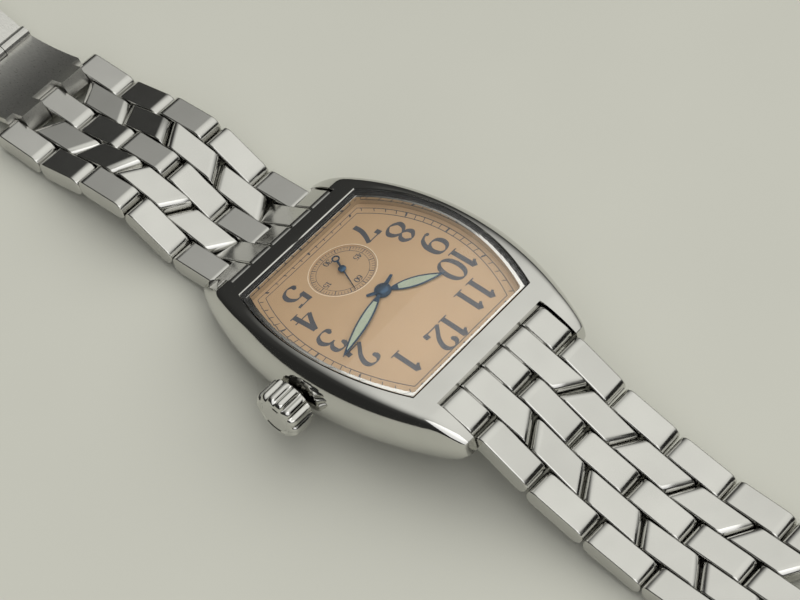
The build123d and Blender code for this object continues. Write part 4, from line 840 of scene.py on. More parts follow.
def side_planes():
    """Flat planes whose inside is the case seen from the side, for a point's distance and height."""
    nose_top = TOP_RADIUS - sqrt(TOP_RADIUS**2 - NOSE_START**2)
    outline = [(y, layer_height(0, y)) for y in np.linspace(0, NOSE_START, 28)[:-1]]
    outline += arc_points((NOSE_START, -nose_top), NOSE_MIDDLE, (CASE_HALF_LENGTH, -TIP_TOP_DEPTH), 24)
    outline += arc_points((CASE_HALF_LENGTH, -TIP_BOTTOM_DEPTH), TUCK_MIDDLE, (TUCK_START, -CASE_DEPTH), 24)
    outline.append((0, -CASE_DEPTH))
    ends = np.array(outline)
    along = ends[1:] - ends[:-1]
    normals = np.stack([-along[:, 1], along[:, 0]], axis=1)
    normals /= np.linalg.norm(normals, axis=1)[:, None]
    return normals, np.sum(normals * ends[:-1], axis=1)


def flank_distance(x, y, z):
    """Distance outside the bulging flanks."""
    spread = CASE_HALF_WIDTH - CASE_TIP_HALF_WIDTH
    lean = atan2(FLANK_TIP_DROP, spread)
    sagitta = hypot(spread, FLANK_TIP_DROP)
    reach = (CASE_HALF_LENGTH**2 + sagitta**2) / (2 * sagitta)
    bulge = CASE_HALF_WIDTH - FLANK_TOP_HALF_WIDTH
    section = (FLANK_WIDEST_DEPTH**2 + bulge**2) / (2 * bulge)
    dx = np.abs(x) - (CASE_HALF_WIDTH - cos(lean) * reach)
    dz = z - (-FLANK_WIDEST_DEPTH - sin(lean) * reach)
    height = -sin(lean) * dx + cos(lean) * dz
    out = np.sqrt((cos(lean) * dx + sin(lean) * dz) ** 2 + y**2)
    past = np.maximum(out - (reach - section * cos(lean)), 0)
    return np.sqrt(past**2 + (height - section * sin(lean)) ** 2) - section


def case_distance(x, y, z, planes, softness):
    """Distance outside the case, with softened edges."""
    normals, offsets = planes
    spots = np.stack([np.abs(y), z], axis=-1)
    side = np.max(spots @ normals.T - offsets, axis=-1)
    flank = flank_distance(x, y, z)
    blend = np.maximum(softness - np.abs(side - flank), 0) / softness
    return np.maximum(side, flank) + blend**2 * softness / 4


def outline_reach(sizes, angle):
    """Distance from the middle to a tonneau outline, in one direction."""
    l, w, c = sizes
    radius = (l * l + (w - c) ** 2) / (2 * (w - c))
    dx, dy = abs(cos(angle)), abs(sin(angle))
    centre = w - radius
    bowed = centre * dx + sqrt((centre * dx) ** 2 + radius**2 - centre**2)
    return min(bowed, l / dy if dy > 1e-9 else bowed)


def case_section(angle, planes, softness, bevel):
    """Outer skin of the case in one direction, from the opening to the back's recess."""
    c, s = cos(angle), sin(angle)
    rim = outline_reach(OPENING, angle) + bevel
    pivot, middle = outline_reach(OPENING, angle) * PIVOT_SHARE, -FLANK_WIDEST_DEPTH
    first = atan2(layer_height(0, rim * s) - middle, rim - pivot)
    last = atan2(-CASE_DEPTH - middle, outline_reach(BACK_OUTLINE, angle) - pivot)
    turns = np.linspace(first, last, TRACED_POINTS)
    near, far = np.zeros(TRACED_POINTS), np.full(TRACED_POINTS, TRACE_REACH)
    for _ in range(HALVINGS):
        half = (near + far) / 2
        r = pivot + half * np.cos(turns)
        outside = case_distance(r * c, r * s, middle + half * np.sin(turns), planes, softness) > 0
        far = np.where(outside, half, far)
        near = np.where(outside, near, half)
    r, z = pivot + near * np.cos(turns), middle + near * np.sin(turns)
    dr, dz = np.diff(r), np.diff(z)
    heading = np.unwrap(np.arctan2(dz, dr))
    bend = np.abs(np.diff(heading, append=heading[-1]))
    weight = np.concatenate([[0], np.cumsum(np.hypot(dr, dz) * LENGTH_WEIGHT + bend * BEND_WEIGHT)])
    order = np.arange(TRACED_POINTS)
    spots = np.interp(np.linspace(0, weight[-1], KEPT_POINTS), weight, order)
    return list(zip(np.interp(spots, order, r), np.interp(spots, order, z)))


def case_ring(softness, bevel):
    """Closed case without its notches and bores."""
    planes = side_planes()
    floor = -(CASE_DEPTH - BACK_THICKNESS)
    points = []
    outline = tonneau(*OPENING, *CASE_OUTLINE_STEPS)
    for x, y in outline:
        angle = atan2(y, x)
        s = sin(angle)
        skin = case_section(angle, planes, softness, bevel)
        rim, back = outline_reach(OPENING, angle), outline_reach(BACK_OUTLINE, angle)
        cavity = outline_reach(inset(OPENING, CAVITY_INSET), angle)
        ledge = outline_reach(inset(OPENING, LEDGE_WIDTH), angle)
        section = [(rim, skin[0][1] - bevel * RIM_BEVEL_DROP)] + skin + [(back, floor), (cavity, floor)]
        section += [(r, layer_height(depth, r * s)) for r, depth in
                    ((cavity, DIAL_DEPTH), (ledge, DIAL_DEPTH), (ledge, LEDGE_DEPTH), (rim, LEDGE_DEPTH))]
        points += [(r * cos(angle), r * s, z) for r, z in section]
    size, count = len(points) // len(outline), len(outline)
    faces = []
    for i in range(count):
        faces += ring_faces(i * size, (i + 1) % count * size, size)
    return edited(mesh_of("case_shell", points, faces), outward_faces)


def notch_tool(side):
    """Space between two lugs, with a round seat for the end link's heel."""
    bar, depth, radius = SPRING_BAR_DISTANCE, SPRING_BAR_DEPTH, NOTCH_RADIUS
    meet = asin((bar - NOTCH_FRONT) / radius)
    outline = [(NOTCH_FAR, NOTCH_TOP), (NOTCH_FRONT, NOTCH_TOP)]
    outline += [(bar - radius * cos(a), -depth + radius * sin(a)) for a in np.linspace(pi / 2 - meet, 0, 14)]
    outline += [(bar - radius, NOTCH_BOTTOM), (NOTCH_FAR, NOTCH_BOTTOM)]
    return prism_x("notch", [(side * y, z) for y, z in outline], -NOTCH_HALF_WIDTH, NOTCH_HALF_WIDTH)


class WATCH_OT_case(bpy.types.Operator):
    """Build the polished case"""

    bl_idname = "watch.case"
    bl_label = "Case"

    def execute(self, context):
        sizes = context.scene.watch_sizes
        shell = case_ring(sizes.edge_softness / MM, sizes.rim_bevel / MM)
        bore = rod_x("bore", CROWN_TUBE_RADIUS, *CROWN_TUBE_SPAN, 0, -CROWN_DEPTH)
        shell = cut(shell, notch_tool(1), notch_tool(-1), bore)
        finish("case_shell", shell, HEAD, "polished_steel", "head", ("case_body",),
               sharp=24.0)
        return {"FINISHED"}


def steep_edges(work, wanted):
    """Edges with a steep bend that pass a test."""
    return [edge for edge in work.edges if edge.calc_face_angle(0) > STEEP_BEND and wanted(edge)]


class WATCH_OT_crystal(bpy.types.Operator):
    """Build the curved crystal"""

    bl_idname = "watch.crystal"
    bl_label = "Crystal"

    def execute(self, context):
        outer = tonneau(*inset(OPENING, CRYSTAL_INSET), *PLATE_OUTLINE_STEPS)
        slab = curved_plate("crystal_glass", outer, [], layer(0), layer(CRYSTAL_THICKNESS))

        def soften(work):
            top = layer(CRYSTAL_EDGE_DEPTH)
            rim = steep_edges(work, lambda edge: edge.verts[0].co.z > top(0, edge.verts[0].co.y))
            bmesh.ops.bevel(work, geom=rim, offset=CRYSTAL_BEVEL, segments=3, affect="EDGES", profile=0.5)

        pane = finish("crystal_glass", edited(slab, soften), HEAD, "crystal", "head", ("crystal",))
        pane.visible_shadow = False
        return {"FINISHED"}


# The dial and its print.

DIAL_FACE = layer(DIAL_DEPTH)
SECONDS_FACE = layer(DIAL_DEPTH + SECONDS_DIAL_SINK)


def smooth_path(points, steps=7):
    """Points of a smooth curve through some points."""
    if len(points) < 3:
        return points
    ends = [points[0]] + points + [points[-1]]
    if points[0] == points[-1]:
        ends[0], ends[-1] = points[-2], points[1]
    path = []
    for a, b, c, d in zip(ends, ends[1:], ends[2:], ends[3:]):
        for k in range(steps):
            t = k / steps
            path.append(tuple(
                0.5 * (2 * q + (r - p) * t + (2 * p - 5 * q + 4 * r - s) * t * t
                       + (3 * q - p - 3 * r + s) * t**3)
                for p, q, r, s in zip(a, b, c, d)))
    return path + [points[-1]]


def pen_stroke(path, thick, thin):
    """Strip drawn by a broad pen: full on upright strokes, fine on level ones."""
    closed = path[0] == path[-1]
    left, right = [], []
    for k, (x, y) in enumerate(path):
        before = path[k - 1] if k else (path[-2] if closed else path[0])
        after = path[k + 1] if k + 1 < len(path) else (path[1] if closed else path[-1])
        dx, dy = after[0] - before[0], after[1] - before[1]
        length = hypot(dx, dy)
        half = (thin + (thick - thin) * abs(dy / length) ** PEN_SWELL) / 2
        left.append((x - dy / length * half, y + dx / length * half))
        right.append((x + dy / length * half, y - dx / length * half))
    return left, right


def flat_strip(left, right, face):
    """Raised strip between two rows of points, following a dial's surface."""
    points, faces = [], []
    for (lx, ly), (rx, ry) in zip(left, right):
        low, high = face(lx, ly), face(rx, ry)
        points += [(lx, ly, low + PRINT_RISE), (rx, ry, high + PRINT_RISE),
                   (rx, ry, high - PRINT_RISE), (lx, ly, low - PRINT_RISE)]
    for k in range(len(left) - 1):
        faces += ring_faces(4 * k, 4 * k + 4, 4)
    faces += [(3, 2, 1, 0), tuple(len(points) - 4 + i for i in range(4))]
    return edited(mesh_of("strip", points, faces), outward_faces)


def number(text, x, y, height, face, pen):
    """Meshes of one number, centred on a place of the dial."""
    width = DIGIT_WIDTH_SHARE * height
    advance = width * (NARROW_ADVANCE if "1" in text else WIDE_ADVANCE)
    meshes = []
    for index, digit in enumerate(text):
        shift = -advance * len(text) / 2 + index * advance + (advance - width) / 2
        flipped = digit == "6"
        strokes, dots = DIGITS[SIX_TURNED_FROM if flipped else digit]

        def spot(px, py):
            if flipped:
                px, py = DIGIT_WIDTH_SHARE - px, 1 - py
            return x + px * height + shift, y + (py - 0.5) * height

        for stroke in strokes:
            left, right = pen_stroke(smooth_path(stroke), *pen)
            meshes.append(flat_strip([spot(*p) for p in left], [spot(*p) for p in right], face))
        for dx, dy, radius in dots:
            outline = circle(radius * height, *spot(dx, dy), 14)
            meshes.append(curved_plate("dot", outline, [], lambda a, b: face(a, b) + PRINT_RISE,
                                       lambda a, b: face(a, b) - PRINT_RISE))
    return meshes


def closed_strip(outer, inner, face):
    return flat_strip(outer + outer[:1], inner + inner[:1], face)


def around(cy, radius, width, face, steps=96):
    """Round line with its centre on the head's long axis."""
    return closed_strip(circle(radius, 0, cy, steps), circle(radius - width, 0, cy, steps), face)


class WATCH_OT_dial(bpy.types.Operator):
    """Build the dial with its sunk seconds dial"""

    bl_idname = "watch.dial"
    bl_label = "Dial"

    def execute(self, context):
        bottom = layer(DIAL_DEPTH + DIAL_THICKNESS)
        outer = tonneau(*inset(OPENING, DIAL_INSET), *PLATE_OUTLINE_STEPS)
        sink = circle(SECONDS_DIAL_RADIUS, 0, -SECONDS_OFFSET, 72)
        holes = [sink[::-1], circle(CENTRE_HOLE_RADIUS, 0, 0, 32)[::-1]]
        plate = curved_plate("dial_face", outer, holes, DIAL_FACE, bottom)
        finish("dial_face", plate, HEAD, "dial", "head", ("dial",))
        hole = circle(SECONDS_HOLE_RADIUS, 0, -SECONDS_OFFSET, 20)[::-1]
        small = curved_plate("seconds_dial", sink, [hole], SECONDS_FACE, bottom, 0.5)
        finish("seconds_dial", small, HEAD, "seconds_rings", "head")
        return {"FINISHED"}


class WATCH_OT_dial_print(bpy.types.Operator):
    """Print the numbers, the minute track and the seconds track"""

    bl_idname = "watch.dial_print"
    bl_label = "Dial print"

    def execute(self, context):
        sizes = context.scene.watch_sizes
        numbers = []
        for text, (x, y) in NUMBER_PLACES.items():
            numbers += number(text, x, y, sizes.number_height / MM, DIAL_FACE, HOUR_PEN)
        self.printed("dial_numbers", numbers)
        self.printed("minute_track", self.minute_track())
        self.printed("seconds_track", self.seconds_track(sizes.small_number_height / MM))
        # Pale ring round the sunk seconds dial: a painted highlight where the step's edge catches light, not
        # print.
        radius = SECONDS_DIAL_RADIUS + SECONDS_EDGE_WIDTH
        edge = around(-SECONDS_OFFSET, radius, SECONDS_EDGE_WIDTH, DIAL_FACE)
        finish("seconds_rim", edge, HEAD, "pale_line", "head")
        return {"FINISHED"}

    def printed(self, name, meshes):
        finish(name, joined(name, meshes), HEAD, "print", "head")

    def ties(self, name, reach, middle, face, marks, length, width):
        """Short strokes at some sixtieths of a turn, pointing at a middle."""
        angles = [pi / 2 - 2 * pi * mark / 60 for mark in marks]
        spots = [(reach(a) * cos(a), middle + reach(a) * sin(a)) for a in angles]
        tie = block("tie", length, width, -PRINT_RISE, PRINT_RISE)
        places = [(x, y, face(x, y)) for x, y in spots]
        return repeated(name, tie, places, "print", [(0, 0, a) for a in angles])

    def minute_track(self):
        """Two rails with a tie at each minute, following the opening."""
        rails = [inset(OPENING, amount) for amount in RAIL_INSETS]
        lines = []
        for rail in rails:
            outer = tonneau(*rail, *RAIL_STEPS)
            shares = [1 - RAIL_WIDTH / hypot(x, y) for x, y in outer]
            lines.append(closed_strip(outer, [(x * k, y * k) for (x, y), k in zip(outer, shares)], DIAL_FACE))

        def reach(angle):
            return sum(outline_reach(rail, angle) for rail in rails) / 2

        for name, width in TIE_WIDTHS.items():
            marks = [mark for mark in range(60) if (mark % 5 == 0) == (name == "bold_ties")]
            lines.append(self.ties(name, reach, 0, DIAL_FACE, marks, TIE_LENGTH, width))
        return lines

    def seconds_track(self, height):
        """Rings, ticks and numbers of the seconds dial."""
        centre = -SECONDS_OFFSET
        lines = [around(centre, radius, SECONDS_RAIL_WIDTH, SECONDS_FACE) for radius in SECONDS_RAIL_RADII]
        for step, (length, width, radius) in SECONDS_TICKS.items():
            marks = [mark for mark in range(60) if (mark % 5 == 0) == (step == 5)]
            lines.append(self.ties("ticks", lambda a: radius, centre, SECONDS_FACE, marks, length, width))
        for text, clock in SECONDS_NUMBERS.items():
            a = radians(90 - clock)
            place = (SECONDS_NUMBER_DISTANCE * cos(a), centre + SECONDS_NUMBER_DISTANCE * sin(a))
            lines += number(text, *place, height, SECONDS_FACE, SECONDS_PEN)
        return lines


# The hands.


def leaf_outline(length, width, start, steps=26):
    """Half outline of a leaf from its foot to its tip, as (width, distance) pairs."""
    skew, power = LEAF_SWELL
    pairs = []
    for k in range(steps + 1):
        t = k / steps
        swell = sin(pi * t**skew) ** power
        pairs.append((max(0.0, width / 2 * swell + LEAF_FOOT * (1 - t) ** 2), start + (length - start) * t))
    return pairs


def hand_plate(name, outer, holes, low, high):
    plate = curved_plate(name, outer, holes, lambda x, y: high, lambda x, y: low, bands=100.0)

    def soften(work):
        rim = steep_edges(work, lambda edge: min(v.co.z for v in edge.verts) > (low + high) / 2)
        bmesh.ops.bevel(work, geom=rim, offset=HAND_BEVEL, segments=1, affect="EDGES")

    return edited(plate, soften)


def clockwise(angle, x=0.0, y=0.0):
    return HEAD @ Matrix.Translation((x, y, 0)) @ Matrix.Rotation(-radians(angle), 4, "Z")


def leaf_hand(name, sizes, body, node, border):
    """Leaf hand with a blued border and pale paint inside."""
    low = -sizes["depth"] - HAND_THICKNESS / 2
    high = low + HAND_THICKNESS
    start = HUB_RADIUS * LEAF_START
    leaf = leaf_outline(sizes["length"], sizes["width"], start)
    tail = [(width, rise - sizes["tail"]) for width, rise in LEAF_TAIL]
    right = tail + [(LEAF_NECK, -start)] + leaf[:-1]
    outer = right + [(0, sizes["length"])] + [(-x, y) for x, y in right[::-1]]
    inside = [(x - border, y) for x, y in leaf if x > border + LUME_LEAST and y > start + LUME_START]
    hole = inside + [(-x, y) for x, y in inside[::-1]]
    hub = lathe("hub", [(HUB_BORE_RADIUS, low), (HUB_RADIUS, low), (HUB_RADIUS, high - HAND_BEVEL),
                        (HUB_RADIUS - HAND_BEVEL, high), (HUB_BORE_RADIUS, high)], 48, closed=True)
    whole = joined(name, [hand_plate(name, outer, [hole[::-1]], low, high), hub])
    finish(name, whole, clockwise(sizes["angle"]), "blued", body, (node,), sharp=28.0)
    lume = hand_plate(f"{name}_lume", hole, [], low + LUME_SINK[0], high - LUME_SINK[1])
    finish(f"{name}_lume", lume, clockwise(sizes["angle"]), "lume", body)


class WATCH_OT_hands(bpy.types.Operator):
    """Build the hour, minute and seconds hands"""

    bl_idname = "watch.hands"
    bl_label = "Hands"

    def execute(self, context):
        border = context.scene.watch_sizes.hand_outline / MM
        leaf_hand("hour_leaf", HOUR_HAND, "hour_work", "hour_hand", border)
        leaf_hand("minute_leaf", MINUTE_HAND, "minute_work", "minute_hand", border)
        top = -MINUTE_HAND["depth"] + HAND_THICKNESS / 2
        dome = [(CAP_RADIUS * cos(a), top + CAP_EDGE + (CAP_HEIGHT - CAP_EDGE) * sin(a))
                for a in np.linspace(0, pi / 2, 9)[:-1]]
        cap = lathe("hand_cap", [(0, top), (CAP_RADIUS, top)] + dome + [(0, top + CAP_HEIGHT)], 48)
        finish("hand_cap", cap, HEAD, "blued", "minute_work")
        self.seconds()
        return {"FINISHED"}

    def seconds(self):
        """Straight needle with a ring in its tail."""
        low = -SECONDS_HAND["depth"] - HAND_THICKNESS / 2 + NEEDLE_PLAY
        high = low + HAND_THICKNESS - 2 * NEEDLE_PLAY
        half, tail, length = SECONDS_HAND["width"] / 2, SECONDS_HAND["tail"], SECONDS_HAND["length"]
        right = [(half, -tail), (half * NEEDLE_WAIST, 0), (NEEDLE_TIP, length)]
        outer = right + [(-x, y) for x, y in right[::-1]]
        section = [(0, low), (NEEDLE_DISC_RADIUS, low), (NEEDLE_DISC_RADIUS, high)]
        disc = lathe("disc", section + [(radius, high + rise) for radius, rise in NEEDLE_DOME], 32)
        bore, rim = NEEDLE_RING_RADII
        ring = lathe("ring", [(bore, low), (rim, low), (rim, high), (bore, high)], 32, closed=True)
        ring.transform(Matrix.Translation((0, -tail - rim + half, 0)))
        whole = joined("seconds_needle", [hand_plate("needle", outer, [], low, high), disc, ring])
        finish("seconds_needle", whole, clockwise(SECONDS_HAND["angle"], 0, -SECONDS_OFFSET), "blued",
               "seconds_work", ("seconds_hand",))


# The crown.


def crown_rows():
    """Rows of the crown from its bore to its tip, as radius, distance and share of the flutes' depth."""
    length = CROWN_END - CROWN_START
    rows = [(0, CROWN_BORE_DEPTH, 0), (CROWN_BORE_MIDDLE, CROWN_BORE_DEPTH, 0),
            (CROWN_BORE_RADIUS, CROWN_BORE_DEPTH, 0), (CROWN_BORE_RADIUS, 0, 0)]
    rows += [(CROWN_RADIUS - less, x, share) for x, less, share in CROWN_ENTRY]
    rows += [(CROWN_RADIUS, length * t, 1) for t in CROWN_BELT]
    inner, last = CROWN_RADIUS - CROWN_CORNER, length - CROWN_CORNER
    rows += [(inner + CROWN_CORNER * cos(a), last + CROWN_CORNER * sin(a), cos(a) ** CROWN_CORNER_FADE)
             for a in np.linspace(0, pi / 2 * CROWN_CORNER_SPAN, 8)]
    end_radius = rows[-1][0]
    return rows + [(end_radius * share, length - sink, 0) for sink, share in CROWN_FACE] + [(0, length, 0)]


class WATCH_OT_crown(bpy.types.Operator):
    """Build the fluted crown"""

    bl_idname = "watch.crown"
    bl_label = "Crown"

    def execute(self, context):
        depth = context.scene.watch_sizes.flute_depth / MM
        rows = crown_rows()
        steps = CROWN_FLUTES * CROWN_FLUTE_STEPS
        mesh = lathe("crown_ribbed", [(radius, x) for radius, x, _ in rows], steps)
        for index, vert in enumerate(mesh.vertices[1:-1]):
            angle = 2 * pi * (index % steps) / steps
            groove = (0.5 + 0.5 * cos(angle * CROWN_FLUTES)) ** CROWN_FLUTE_SHARPNESS
            share = rows[1 + index // steps][2] * groove
            vert.co.x -= depth * share * cos(angle)
            vert.co.y -= depth * share * sin(angle)
        along = Matrix(((0, 0, 1), (1, 0, 0), (0, 1, 0))).to_4x4()
        matrix = HEAD @ Matrix.Translation((CROWN_START, 0, -CROWN_DEPTH)) @ along
        finish("crown_ribbed", mesh, matrix, "polished_steel", "stem", ("crown",))
        return {"FINISHED"}


# The bracelet.


def link_outline(start, end, radius=LINK_END_RADIUS, heel=None):
    """Side outline of a link with softly rounded ends about its two pins, anticlockwise."""
    def round_end(centre, reach, facing):
        low = LINK_LIP_SHARE * LINK_HALF
        far = sqrt(reach**2 - low**2)
        upper = [(far - LINK_SHOULDER + LINK_SHOULDER * sin(a), low + (LINK_HALF - low) * cos(a))
                 for a in np.linspace(0, pi / 2, 13)]
        upper += [(reach * cos(a), reach * sin(a)) for a in np.linspace(asin(low / reach), 0, 3)[1:]]
        return [(centre + facing * y, z) for y, z in upper + [(y, -z) for y, z in upper[-2::-1]]]

    return round_end(end, radius, 1) + round_end(start, heel or radius, -1)[::-1]


def link_bar(name, outline, bevel, width=COLUMN_WIDTH):
    """Bar along X with bevelled side edges."""
    def soften(work):
        rims = [edge for edge in work.edges if edge.calc_face_angle(0) > LINK_RIM_BEND
                and abs(edge.verts[0].co.x - edge.verts[1].co.x) < 1e-6]
        bmesh.ops.bevel(work, geom=rims, offset=bevel, segments=3, affect="EDGES", profile=0.5)

    return edited(prism_x(name, outline, -width / 2, width / 2), soften)


def bore_tool(radius, y):
    return rod_x("bore", radius, -BRACELET_WIDTH, BRACELET_WIDTH, y, 0, steps=24)


def sheared(mesh, past=-inf):
    """Slopes the end of a link across its width, beyond a distance."""
    for vert in mesh.vertices:
        if vert.co.y > past:
            vert.co.y += MITRE * vert.co.x
    return mesh


def pin_mesh(y, half=BRACELET_WIDTH / 2):
    """Pin with lightly domed ends."""
    dome = [(PIN_RADIUS * share, half + rise) for share, rise in PIN_DOME]
    return along_x(lathe("pin", [(r, -x) for r, x in dome] + dome[::-1], 20), y, 0)


def column_places(columns, y):
    return [((column - (COLUMNS - 1) / 2) * COLUMN_STEP, y, 0) for column in columns]


class WATCH_OT_bracelet(bpy.types.Operator):
    """Build the brick-laid link rows of both strands"""

    bl_idname = "watch.bracelet"
    bl_label = "Bracelet"

    def execute(self, context):
        bevel = context.scene.watch_sizes.link_bevel / MM
        half = HALF_PITCH / 2
        square = link_bar("square_link", link_outline(-half, half), bevel)
        mitred = sheared(link_bar("mitred_link", link_outline(-half, half), bevel))
        mitred = cut(mitred, bore_tool(PIN_BORE_RADIUS, -half), bore_tool(PIN_BORE_RADIUS, half))
        pins = [pin_mesh(0), pin_mesh(HALF_PITCH)]
        for end in STRANDS:
            points = strand_pins(end)
            for step in range(1, 2 * ROWS):
                if step % 2:
                    node = f"link_row_{end}_{(step + 1) // 2}"
                    links = repeated(node, square, column_places((0, 2, 4), half), "link_steel")
                    mesh = joined(node, [links] + pins)
                else:
                    node = f"mid_row_{end}_{step // 2}"
                    mesh = repeated(node, mitred, column_places((1, 3), half), "link_steel",
                                    [(pi, 0, 0), (0, 0, 0)])
                matrix = link_matrix(end, points[step], points[step + 1])
                finish(f"{node}_links", mesh, matrix, "link_steel", node, (node,))
        return {"FINISHED"}


class WATCH_OT_end_links(bpy.types.Operator):
    """Build the two end links that enter the case"""

    bl_idname = "watch.end_links"
    bl_label = "End links"

    def execute(self, context):
        bevel = context.scene.watch_sizes.link_bevel / MM
        short_end = END_LINK_REACH - HALF_PITCH
        bar, pin_bore = bore_tool(SPRING_BAR_BORE_RADIUS, 0), bore_tool(PIN_BORE_RADIUS, END_LINK_REACH)
        short = cut(link_bar("short_finger", link_outline(0, short_end, heel=END_LINK_HEEL), bevel), bar)
        right = link_bar("long_finger", link_outline(0, END_LINK_REACH, heel=END_LINK_HEEL), bevel)
        right = sheared(right, short_end)
        left = placed(right, Matrix.Scale(-1, 4, (1, 0, 0)))
        left.flip_normals()
        core_width = BRACELET_WIDTH - CORE_INSET
        core = link_bar("core", link_outline(*CORE_PINS, **CORE_ENDS), CORE_BEVEL, core_width)
        core.transform(Matrix.Scale(CORE_HEIGHT_SHARE, 4, (0, 0, 1)))
        longs = [placed(cut(finger, bar, pin_bore), Matrix.Translation(column_places((column,), 0)[0]))
                 for finger, column in ((left, 1), (right, 3))]
        core = cut(core, bar)
        for end in STRANDS:
            first, second, *_ = strand_pins(end)
            node = f"end_link_{end}"
            shorts = repeated(node, short, column_places((0, 2, 4), 0), "link_steel")
            finish(f"{node}_fingers", joined(node, [shorts, core] + longs), link_matrix(end, first, second),
                   "link_steel", node, (node,))
        return {"FINISHED"}


# The back, the clasp and the movement.


def slotted_head(radius, height, slot_depth):
    """Screw head that hangs down from zero, with a slot in its face."""
    edge = SCREW_EDGE_SHARE * radius
    head = lathe("head", [(0, 0), (radius, 0), (radius, edge - height), (radius - edge, -height),
                          (0, -height)], 24)
    slot = block("slot", SLOT_LENGTH, SCREW_SLOT_SHARE * radius, SLOT_BOTTOM, slot_depth - height)
    return cut(head, slot)


def head_trim(name, shape, places, height, look, turns=None, replaced=()):
    """Like small pieces at places of the head."""
    spots = [(x, y, height) for x, y in places]
    turns = [(0, 0, radians(turn)) for turn in turns] if turns else None
    finish(name, repeated(name, shape, spots, look, turns), HEAD, look, "head", replaced)


class WATCH_OT_back(bpy.types.Operator):
    """Build the slotted screws of the case back"""

    bl_idname = "watch.back"
    bl_label = "Back screws"

    def execute(self, context):
        height = BACK_SCREW_HEIGHT - BACK_SCREW_PLAY
        head = slotted_head(BACK_SCREW_RADIUS - BACK_SCREW_PLAY, height, BACK_SCREW_SLOT)
        head_trim("back_screw_heads", head, BACK_SCREW_PLACES, height - CASE_DEPTH, "polished_steel",
                  BACK_SCREW_TURNS, ("back_screws",))
        return {"FINISHED"}


# Finishes of the nodes that are shown as they are.
NODE_FINISHES = {
    "brushed_steel": "case_back clasp_wing_6 clasp_wing_12 clasp_centre_blade",
    "rubber": "crystal_gasket back_gasket crown_gasket",
    "polished_steel": "crown_tube spring_bars",
    "brass": "movement_ring centre_wheel hour_wheel minute_wheel mainspring_barrel third_wheel fourth_wheel"
             " balance_wheel",
    "bridges": "main_plate barrel_bridge train_bridge balance_cock",
    "wheels": "cannon_pinion ratchet_wheel crown_wheel escape_wheel pallet_fork setting_lever winding_stem",
    "spring": "hairspring",
}


class WATCH_OT_movement(bpy.types.Operator):
    """Give the movement, the back and the clasp their finishes"""

    bl_idname = "watch.movement"
    bl_label = "Movement, back and clasp"

    def execute(self, context):
        for look, nodes in NODE_FINISHES.items():
            for node in nodes.split():
                thing = frame["nodes"][node]
                if not thing.material_slots:
                    thing.data.materials.append(finish_of(look))
                for slot in thing.material_slots:
                    slot.material = finish_of(look)
        return {"FINISHED"}


class WATCH_OT_bridge_trim(bpy.types.Operator):
    """Build the screws and the jewels of the bridges"""

    bl_idname = "watch.bridge_trim"
    bl_label = "Bridge screws and jewels"

    def execute(self, context):
        turns = [BRIDGE_SCREW_TURN * step for step in range(len(BRIDGE_SCREW_PLACES))]
        screw = slotted_head(*BRIDGE_SCREW_SIZES)
        head_trim("bridge_screws", screw, BRIDGE_SCREW_PLACES, -BRIDGE_BOTTOM_DEPTH, "blued",
                  turns)
        spots = [(HEAD.inverted() @ pin_point(name)).xy for name in JEWELLED_JOINTS]
        jewel = lathe("jewel", JEWEL_SECTION, 24, closed=True)
        head_trim("bridge_jewels", jewel, spots, -BRIDGE_BOTTOM_DEPTH, "ruby")
        return {"FINISHED"}


# The stage.

CAMERA_DIRECTION = (-214.63, 46.86, -17.15)
CAMERA_SHIFT = (-2.29, 2.108)
CAMERA_DISTANCE = 280.1
KEY_PLACE, KEY_SIZE, KEY_COLOUR = (-0.5, 0.12, 0.85), 1.7, (1, 0.99, 0.95)
FILL_PLACE, FILL_SIZE = (0.45, 0.57, 0.7), 1.0
CARD_PLACE, CARD_SIZE = (-0.25, 0.5, 0.19), 0.32
CAMERA_SENSOR, CAMERA_CLIP = 36, (0.01, 20)
FLOOR_SIZE = 3.2
FLOOR_DROP = 0.00005
SKY_AXIS = (-0.35, 0.1, 0.93)
SKY_STOPS = ((0.0, 0.03), (0.4, 0.05), (0.52, 0.2), (0.65, 0.42), (0.85, 0.85), (1.0, 1.0))


def camera_matrix():
    """Camera that looks at the head as the photograph does."""
    azimuth, elevation, roll = (radians(angle) for angle in CAMERA_DIRECTION)
    back = Vector((sin(azimuth) * cos(elevation), -cos(azimuth) * cos(elevation), sin(elevation)))
    right = Vector((cos(azimuth), sin(azimuth), 0))
    up = back.cross(right)
    r = cos(roll) * right + sin(roll) * up
    u = -sin(roll) * right + cos(roll) * up
    place = -CAMERA_SHIFT[0] * r - CAMERA_SHIFT[1] * u + CAMERA_DISTANCE * back
    turn = HEAD.to_3x3().normalized() @ Matrix((r, u, back)).transposed()
    return Matrix.Translation(HEAD @ place) @ turn.to_4x4()


def aimed(thing, place, axis):
    """Puts a thing at a place with one of its axes towards the head."""
    thing.location = place
    thing.rotation_euler = (HEAD.translation - Vector(place)).to_track_quat(axis, "Y").to_euler()
    return thing


def softbox(name, place, size, power, colour=(1, 1, 1)):
    light = bpy.data.lights.new(name, "AREA")
    light.shape = "RECTANGLE"
    light.size = light.size_y = size
    light.energy = power
    light.color = colour
    return aimed(linked(name, light), place, "-Z")


def stage_sheet(name, size, material):
    """Flat square of the stage."""
    h = size / 2
    sheet = mesh_of(name, [(-h, -h, 0), (h, -h, 0), (h, h, 0), (-h, h, 0)], [(0, 1, 2, 3)])
    sheet.materials.append(material)
    thing = linked(name, sheet)
    return thing


def dark_card():
    """Dark card that only polished metal mirrors."""
    material, _ = new_material("card_black", 0.0, Roughness=0.9, Base_Color=(0.01, 0.01, 0.01, 1))
    card = aimed(stage_sheet("dark_card", CARD_SIZE, material), CARD_PLACE, "Z")
    for sight in ("camera", "diffuse", "transmission", "shadow"):
        setattr(card, f"visible_{sight}", False)


